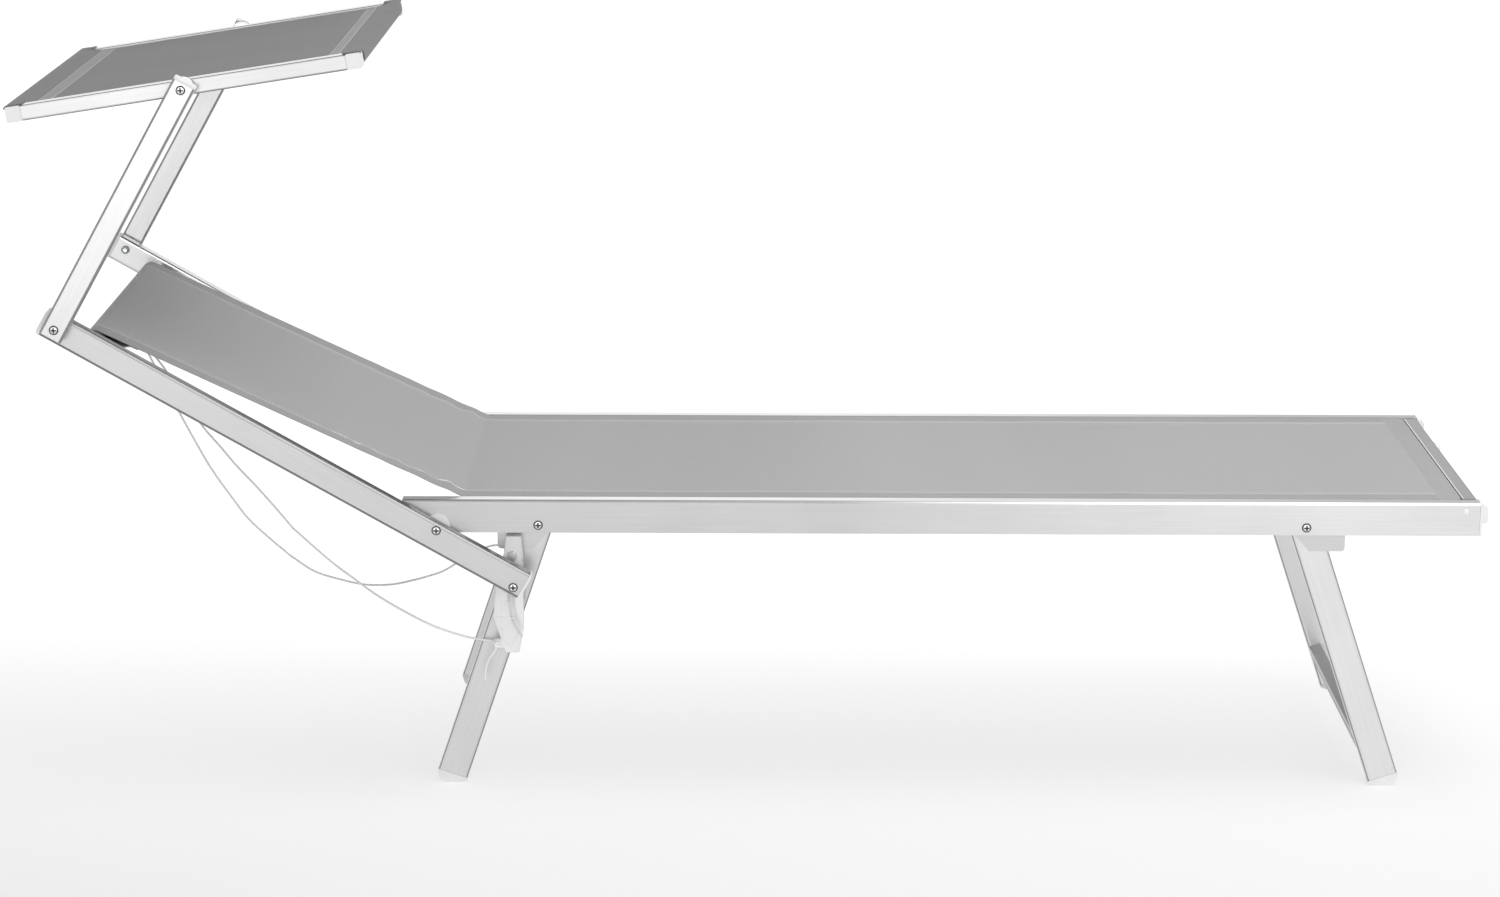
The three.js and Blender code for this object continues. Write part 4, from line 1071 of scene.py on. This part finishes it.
def add_canopy_cloth():
    """The canopy's sheet with a pocket round each bar, whose ends wrap the corner blocks."""
    rows, first, last = canopy_rows()
    inner = across(CANOPY_HALF, CANOPY_COLUMNS)
    columns = [-y for y in reversed(ACROSS_BLOCKS)] + inner + list(ACROSS_BLOCKS)
    shell = Shell()
    run = 0.0
    for row, (place, normal) in enumerate(rows):
        run += (place - rows[row - 1][0]).length if row else 0.0
        for column, y in enumerate(columns):
            spot = canopy_point(place, normal, y, first <= row < last)
            if spot is not None:
                shell.put((row, column), CANOPY @ Vector((spot.x, y, spot.y)), (y, run))
    for row in range(len(rows)):
        for column in range(len(columns)):
            shell.cell(row, column, flip=True)
    piece = thicken(shell.piece("canopy_sheet", "canopy_cloth"), CLOTH)
    tapes = [canopy_tape("canopy_tape_head", -1), canopy_tape("canopy_tape_foot", 1)]
    stitches = stitch("canopy_stitches", canopy_seams())
    for part in [piece, stitches] + tapes:
        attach(part, "canopy")
    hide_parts("canopy_cloth")
    [stitches] + tapes


def canopy_tape(name, sign):
    """The paler tape that covers a canopy pocket's seam."""
    start, end = CANOPY_TAPE[sign]
    columns = across(CANOPY_HALF * 0.998, CANOPY_COLUMNS)
    shell = Shell()
    for row in range(TAPE_STEPS + 1):
        x = sign * (CANOPY_BAR - start - (end - start) * row / TAPE_STEPS)
        rise = 0.1 * MM if row in (0, TAPE_STEPS) else TAPE_RISE
        for column, y in enumerate(columns):
            shell.put((row, column), CANOPY @ Vector((x, y, canopy_top(x, y) + rise)), (y, x))
            shell.cell(row - 1, column - 1, flip=sign < 0)
    return thicken(shell.piece(name, "hem"), 0.4 * MM)


def canopy_seams():
    """The lines that the stitches along both edges of each tape follow."""
    up = CANOPY.to_3x3() @ Vector((0, 0, 1))
    seams = []
    for sign in (-1, 1):
        for edge, inset in zip(CANOPY_TAPE[sign], (2 * MM, -2 * MM)):
            x = sign * (CANOPY_BAR - edge - inset)
            ys = across(CANOPY_HALF * 0.98, SEAM_POINTS)
            seams.append([(CANOPY @ Vector((x, y, canopy_top(x, y) + TAPE_RISE)), up) for y in ys])
    return seams


# Stitches and screws, by Geometry Nodes

def new_tree(name, sizes):
    """An empty geometry tree. sizes gives each named input's socket type; the geometry comes
    first. Returns the graph and its inputs by name."""
    tree = bpy.data.node_groups.new(name, "GeometryNodeTree")
    for way in ("INPUT", "OUTPUT"):
        tree.interface.new_socket("Geometry", in_out=way, socket_type="NodeSocketGeometry")
    for label, kind in sizes.items():
        tree.interface.new_socket(label, in_out="INPUT", socket_type="NodeSocket" + kind)
    graph = Graph(tree)
    start = tree.nodes.new("NodeGroupInput")
    return graph, {output.name: Socket(graph, output) for output in start.outputs if output.name}


def facing_out(graph, **inputs):
    """Turns an instance's Z axis to the way out of the surface, which the points carry."""
    pivot = "X" if inputs else "AUTO"
    inputs["Vector"] = graph.add("GeometryNodeInputNamedAttribute", {"Name": "up"},
                                 data_type="FLOAT_VECTOR")
    return graph.add("FunctionNodeAlignRotationToVector", inputs, axis="Z", pivot_axis=pivot)


def end_tree(graph, geometry, material, **chosen):
    """Realizes the instances and gives them a material, and the chosen faces another."""
    geometry = graph.add("GeometryNodeRealizeInstances", {"Geometry": geometry})
    for finish in [{"Material": material}] + ([chosen] if chosen else []):
        geometry = graph.add("GeometryNodeSetMaterial", dict(finish, Geometry=geometry))
    end = graph.tree.nodes.new("NodeGroupOutput")
    graph.put(end.inputs["Geometry"], geometry)
    return graph.tree


def guides(name, places, ups, edges=()):
    """What a geometry tree grows its copies on: points that carry the way out of the surface,
    with edges where they are lines."""
    mesh = bpy.data.meshes.new(name)
    mesh.from_pydata([tuple(place) for place in places], list(edges), [])
    out = mesh.attributes.new("up", "FLOAT_VECTOR", "POINT")
    for value, up in zip(out.data, ups):
        value.vector = up
    return link(name, mesh)


def grow(piece, tree, values):
    """Runs a geometry tree on a piece with the values of its named inputs."""
    modifier = piece.modifiers.new(tree.name, "NODES")
    modifier.node_group = tree
    for socket in tree.interface.items_tree:
        if socket.in_out == "INPUT" and socket.name in values:
            modifier[socket.identifier] = values[socket.name]
    return baked(piece)


def stitch_tree():
    """Short arched threads along the lines, each in line with its seam."""
    sizes = dict.fromkeys(("Start", "Middle", "End"), "Vector")
    graph, given = new_tree("stitches", dict(sizes, Pitch="Float", Radius="Float", Material="Material"))
    curve = graph.add("GeometryNodeMeshToCurve", {"Mesh": given["Geometry"]})
    points = graph.add("GeometryNodeResampleCurve", {"Curve": curve, "Length": given["Pitch"]},
                       mode="LENGTH")
    bends = {name: given[name] for name in sizes}
    arch = graph.add("GeometryNodeCurveQuadraticBezier", dict(bends, Resolution=4))
    ring = graph.add("GeometryNodeCurvePrimitiveCircle", {"Resolution": 5, "Radius": given["Radius"]})
    thread = graph.add("GeometryNodeCurveToMesh",
                       {"Curve": arch, "Profile Curve": ring, "Fill Caps": True})
    tangent = graph.add("GeometryNodeInputTangent")
    along = graph.add("FunctionNodeAlignRotationToVector", {"Vector": tangent}, axis="X")
    inputs = {"Points": points, "Instance": thread, "Rotation": facing_out(graph, Rotation=along)}
    stitches = graph.add("GeometryNodeInstanceOnPoints", inputs)
    return end_tree(graph, stitches, given["Material"])


STITCHES = stitch_tree()
STITCH = {"Pitch": 4.2 * MM, "Start": (-1.5 * MM, 0, -0.3 * MM), "Middle": (0, 0, 0.75 * MM),
          "End": (1.5 * MM, 0, -0.3 * MM), "Radius": 0.34 * MM}


def stitch(name, seams):
    """Stitches along seams, which are lists of places with the direction out of the cloth."""
    rows, edges = [], []
    for seam in seams:
        edges += [(index, index + 1) for index in range(len(rows), len(rows) + len(seam) - 1)]
        rows += seam
    piece = guides(name, *zip(*rows), edges)
    return grow(piece, STITCHES, dict(STITCH, Material=finishes["thread"]))


# Each row: the body, the solids' names, the shank's radius, whether a nut ends it, and
# whether it carries the collar between an arm and an upright. Sizes are in millimetres, and
# COLLAR_START and COLLAR_END are distances from the lounger's middle.
SCREWS = (
    ("seat_frame", ("head_leg_screw", "foot_leg_screw"), 3, True, False),
    ("seat_frame", ("recline_bolt",), 3, True, False),
    ("backrest", ("tail_pin",), 4, False, False),
    ("canopy_arms", ("upright_screw",), 3, True, True),
    ("canopy_arms", ("canopy_screw",), 3, False, True),
)
HEAD_HEIGHT = 2.2
PAN_HEAD = ((6.0, 0.0), (6.0, 0.7), (5.75, 1.2), (5.1, 1.7), (3.8, 2.05), (2.0, 2.18), (0, 2.2))
NUT_RADIUS = 5.5
NUT_HEIGHT = 5.0
COLLAR_RADIUS = 15.0
COLLAR_START, COLLAR_END = 273.3, 275.7
RECESS_HALF = 3.7
RECESS_SIDE = 0.9
RECESS_DEPTH = 1.5
RECESS_TAPER = 0.82
CHAMFER = 0.4


def cross_cutter():
    """A tapered cross that sinks the recess into a screw's head."""
    a, b = RECESS_SIDE, RECESS_HALF
    outline = [(b, a), (a, a), (a, b), (-a, b), (-a, a), (-b, a), (-b, -a), (-a, -a), (-a, -b),
               (a, -b), (a, -a), (b, -a)]
    levels = ((RECESS_TAPER, HEAD_HEIGHT - RECESS_DEPTH), (1, HEAD_HEIGHT + 0.5))
    points = [(x * share * MM, y * share * MM, z * MM) for share, z in levels for x, y in outline]
    count = len(outline)
    faces = [(i, (i + 1) % count, count + (i + 1) % count, count + i) for i in range(count)]
    faces += [tuple(reversed(range(count))), tuple(range(count, 2 * count))]
    return make_piece("cutter", points, faces, "recess", smooth=False)


def screw_pattern(seat, tip, radius, nut, collar):
    """One screw along Z with its head's seat at 0, as the instance that the tree repeats."""
    end = tip - seat
    profile = [(0, end), (radius, end)]
    if nut:
        profile += [(radius, end + 0.4), (radius + 0.8, end + 0.9), (radius + 1.2, end + 0.4),
                    (NUT_RADIUS - 0.9, end + 0.4), (NUT_RADIUS, end + 1.3),
                    (NUT_RADIUS, end + NUT_HEIGHT), (radius, end + NUT_HEIGHT)]
    if collar:
        low, high = COLLAR_START - seat, COLLAR_END - seat
        flat_radius = COLLAR_RADIUS - CHAMFER
        profile += [(radius, low), (flat_radius, low), (COLLAR_RADIUS, low + CHAMFER),
                    (COLLAR_RADIUS, high - CHAMFER), (flat_radius, high), (radius, high)]
    profile += [(radius, 0)] + list(PAN_HEAD)
    scaled = [(out * MM, along * MM) for out, along in profile]
    pattern = lathe(scaled, (0, 0, 0), (0, 0, 1), "steel", "screw_pattern", 40)
    pattern.data.polygons.foreach_set("use_smooth", [False] * len(pattern.data.polygons))
    cutter = cross_cutter()
    cut = pattern.modifiers.new("recess", "BOOLEAN")
    cut.object = cutter
    cut.solver = "EXACT"
    baked(pattern)
    bpy.data.objects.remove(cutter)
    inside = pattern.data.attributes.new("recess", "FLOAT", "FACE")
    for polygon, value in zip(pattern.data.polygons, inside.data):
        middle = polygon.center / MM
        sunk = math.hypot(middle.x, middle.y) < RECESS_HALF and 0 < middle.z < HEAD_HEIGHT - 0.25
        value.value = 1.0 if sunk else 0.0
        polygon.use_smooth = not sunk and middle.z > 0.8
    return pattern


def screw_tree():
    """Copies of one screw at the points, each turned along the way out that its point holds,
    with the inside of its recess in a near-black finish that paints its shade."""
    graph, given = new_tree("screws", {"Screw": "Object", "Material": "Material", "Recess": "Material"})
    pattern = graph.add("GeometryNodeObjectInfo", {"Object": given["Screw"]}, "Geometry")
    inputs = {"Points": given["Geometry"], "Instance": pattern, "Rotation": facing_out(graph)}
    screws = graph.add("GeometryNodeInstanceOnPoints", inputs)
    sunk = graph.add("GeometryNodeInputNamedAttribute", {"Name": "recess"}, data_type="FLOAT")
    inside = graph.add("FunctionNodeCompare", {0: sunk, 1: 0.5}, operation="GREATER_THAN")
    return end_tree(graph, screws, given["Material"], Selection=inside, Material=given["Recess"])


def add_screws():
    """Every screw and pin as a turned piece with a crossed pan head, one mesh for each body."""
    tree = screw_tree()
    by_body = {}
    for body, starts, radius, nut, collar in SCREWS:
        nodes = [f"{start}_{side}" for start in starts for side, _ in SIDES]
        places, outs = [], []
        for node in nodes:
            low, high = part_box(node)
            sign = 1 if high[1] > 0 else -1
            tip, outer = sorted((abs(low[1]) / MM, abs(high[1]) / MM))
            seat = outer - HEAD_HEIGHT
            places.append(((low[0] + high[0]) / 2, sign * seat * MM, (low[2] + high[2]) / 2))
            outs.append((0, sign, 0))
        pattern = screw_pattern(seat, tip, radius, nut, collar)
        values = {"Screw": pattern, "Material": finishes["steel"], "Recess": finishes["recess"]}
        piece = grow(guides(f"{starts[0]}s", places, outs), tree, values)
        bpy.data.objects.remove(pattern)
        pieces, replaced = by_body.setdefault(body, ([], []))
        pieces.append(piece)
        replaced += nodes
    for body, (pieces, replaced) in by_body.items():
        screws = merged(f"{body}_screws", pieces)
        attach(screws, body)
        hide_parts(*replaced)


add_sling()
add_canopy_cloth()
add_screws()


# Racks and foot end

# The section of a rack's rim, in millimetres: in from the outline and out from the face
RIM_SECTION = ((0.15, -0.18), (0.15, 0.495), (0.5, 0.81), (1.2, 0.81), (1.55, 0.495), (1.55, -0.18))
RIB_RADIUS = 0.8 * MM
# Raised lines on a rack's outer face, in millimetres from the recline pivot: along X and up
RACK_LINES = (
    ((72.5, -123.6), (97.5, -126.2)),
    ((80, -103), (80.6, -119)), ((84.5, -103), (85.1, -119)), ((89, -103), (89.6, -119)),
    ((81.2, -137.2), (83.1, -152.4), (91, -159.5), (98, -154.2), (100.2, -142.5)),
)


def face_outline(node, outer):
    """The longest loop of (X, Z) places round a solid's flat face at that |Y|, in order."""
    sides_of = {}
    for polygon in node.data.polygons:
        corners = [node.matrix_world @ node.data.vertices[index].co for index in polygon.vertices]
        if all(abs(abs(corner.y) - outer) < 0.05 * MM for corner in corners):
            keys = [(round(corner.x, 6), round(corner.z, 6)) for corner in corners]
            for first, second in zip(keys, keys[1:] + keys[:1]):
                if (second, first) in sides_of:
                    del sides_of[second, first]
                else:
                    sides_of[first, second] = True
    after = {first: second for first, second in sides_of}
    loops = []
    while after:
        start, place = after.popitem()
        loop = [start]
        while place in after:
            loop.append(place)
            place = after.pop(place)
        loops.append(loop)
    return max(loops, key=lambda loop: sum(math.dist(a, b) for a, b in zip(loop, loop[1:])))


def rack_rim(name, loop, outer, sign):
    """A raised rim just inside the outline of a rack's outer face."""
    area = sum(a[0] * b[1] - b[0] * a[1] for a, b in zip(loop, loop[1:] + loop[:1]))
    places = [Vector(place) for place in (loop[::-1] if area < 0 else loop)]
    rings = []
    for before, here, after in zip(places[-1:] + places, places, places[1:] + places[:1]):
        turn = (here - before).normalized() + (after - here).normalized()
        inward = Vector((-turn.y, turn.x)) * (2 / max(0.6, turn.length_squared))
        spots = [(here + inward * (depth * MM), rise) for depth, rise in RIM_SECTION]
        rings.append([Vector((spot.x, sign * (outer + rise * MM), spot.y)) for spot, rise in spots])
    points, faces = skin(rings, joined=True)
    return make_piece(name, points, [face[::-sign] for face in faces], "plastic")


def add_rack_detail(side, sign):
    """The rack's raised rim and ribs."""
    low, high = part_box(f"rack_{side}")
    outer = max(abs(low[1]), abs(high[1]))
    loop = face_outline(frame["nodes"][f"rack_{side}"], outer)
    pieces = [rack_rim(f"rack_rim_{side}", loop, outer, sign)]
    for line in RACK_LINES:
        run = smooth_line([from_pivot((x, outer / MM, z), sign) for x, z in line], 2 * MM)
        pieces.append(tube_along("rack_rib", run, RIB_RADIUS, "plastic", 8))
        pieces[-1].data.uv_layers.remove(pieces[-1].data.uv_layers[0])
    detail = merged(f"rack_detail_{side}", pieces)
    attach(detail, f"rack_{side}")


for side, sign in SIDES:
    add_rack_detail(side, sign)

# A stop on the foot cross and a rivet in the near rail: places and outward directions, and
# profiles in millimetres
KNOB = ((FOOT_SLOT + SLOT_INSET - 0.1 * MM, 92 * MM, SEAT_TOP - 12 * MM), (1, 0, 0))
KNOB_PROFILE = ((0, 0), (9.5, 0), (9.5, 4), (8.8, 6.6), (7, 8.4), (4, 9.3), (0, 9.6))
RIVET = ((0.9087, -250.0 * MM, 0.3782), (0, -1, 0))
RIVET_PROFILE = ((0, -0.2), (4.2, -0.2), (4.2, 0.3), (3.6, 0.9), (2.2, 1.4), (0, 1.6))


def add_turned(name, place, direction, profile):
    scaled = [(radius * MM, along * MM) for radius, along in profile]
    piece = lathe(scaled, place, direction, "plastic", name)
    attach(piece, "seat_frame")


add_turned("foot_stop", *KNOB, KNOB_PROFILE)
add_turned("rail_rivet", *RIVET, RIVET_PROFILE)


# Floor, world and lamps

def add_floor():
    half = 16.0
    corners = [(-half, -half, 0), (half, -half, 0), (half, half, 0), (-half, half, 0)]
    floor = make_piece("floor", corners, [(0, 1, 2, 3)], "floor", smooth=False)


def background_rays(graph):
    """1 for what the camera sees, also in metal, and 0 for light that falls on the object."""
    rays = graph.add("ShaderNodeLightPath").output.node.outputs
    kinds = ("Camera", "Glossy", "Transmission")
    camera, glossy, through = (Socket(graph, rays[f"Is {kind} Ray"]) for kind in kinds)
    return camera.highest(glossy).highest(through)


def floor_paper():
    """White paper sweep. Part of its white glows where the camera or metal sees it, which
    leaves the object's shadow soft and pale."""
    paper = new_material("floor_paper", speckled(40.0, 0.84, 0.86), 1.0, {"Specular IOR Level": 0.0})
    graph = Graph(paper.node_tree)
    shader = Socket(graph, graph.tree.nodes["Principled BSDF"].outputs[0])
    glow = graph.add("ShaderNodeEmission", {"Color": (1, 1, 1, 1), "Strength": FLOOR_GLOW})
    _, y, _ = graph.parts(graph.place())
    behind, far_front = y.ramp(-0.9, 0.9), y.ramp(-3.0, -5.5)
    share = behind.highest(far_front) * (1 - FLOOR_GLOW_SHARE) + FLOOR_GLOW_SHARE
    mix = graph.add("ShaderNodeMixShader", {0: background_rays(graph) * share, 1: shader, 2: glow})
    graph.put(graph.tree.nodes["Material Output"].inputs[0], mix)
    return paper


FLOOR_GLOW = 1.1
FLOOR_GLOW_SHARE = 0.35
WORLD_LEVEL = 0.5
finishes["floor"] = floor_paper()
add_floor()


def add_world():
    world = bpy.data.worlds.new("studio")
    world.use_nodes = True
    graph = Graph(world.node_tree)
    background = world.node_tree.nodes["Background"]
    background.inputs["Color"].default_value = (1, 1, 1, 1)
    level = background_rays(graph) * (1 - WORLD_LEVEL) + WORLD_LEVEL
    graph.put(background.inputs["Strength"], level)
    bpy.context.scene.world = world


def add_lamp(name, place, aim, size, power):
    data = bpy.data.lights.new(name, "AREA")
    data.shape = "RECTANGLE"
    data.size, data.size_y = size
    data.energy = power
    lamp = link(name, data)
    lamp.location = place
    lamp.rotation_euler = (Vector(aim) - Vector(place)).to_track_quat("-Z", "Y").to_euler()


add_world()
add_lamp("key", (1.0, -0.5, 2.7), (0.3, 0, 0.3), (2.0, 1.6), 34)
add_lamp("front", (0.2, -5.6, 1.3), (0, 0, 0.5), (5.0, 3.0), 95)

view = bpy.context.scene.view_settings
view.view_transform = "Standard"
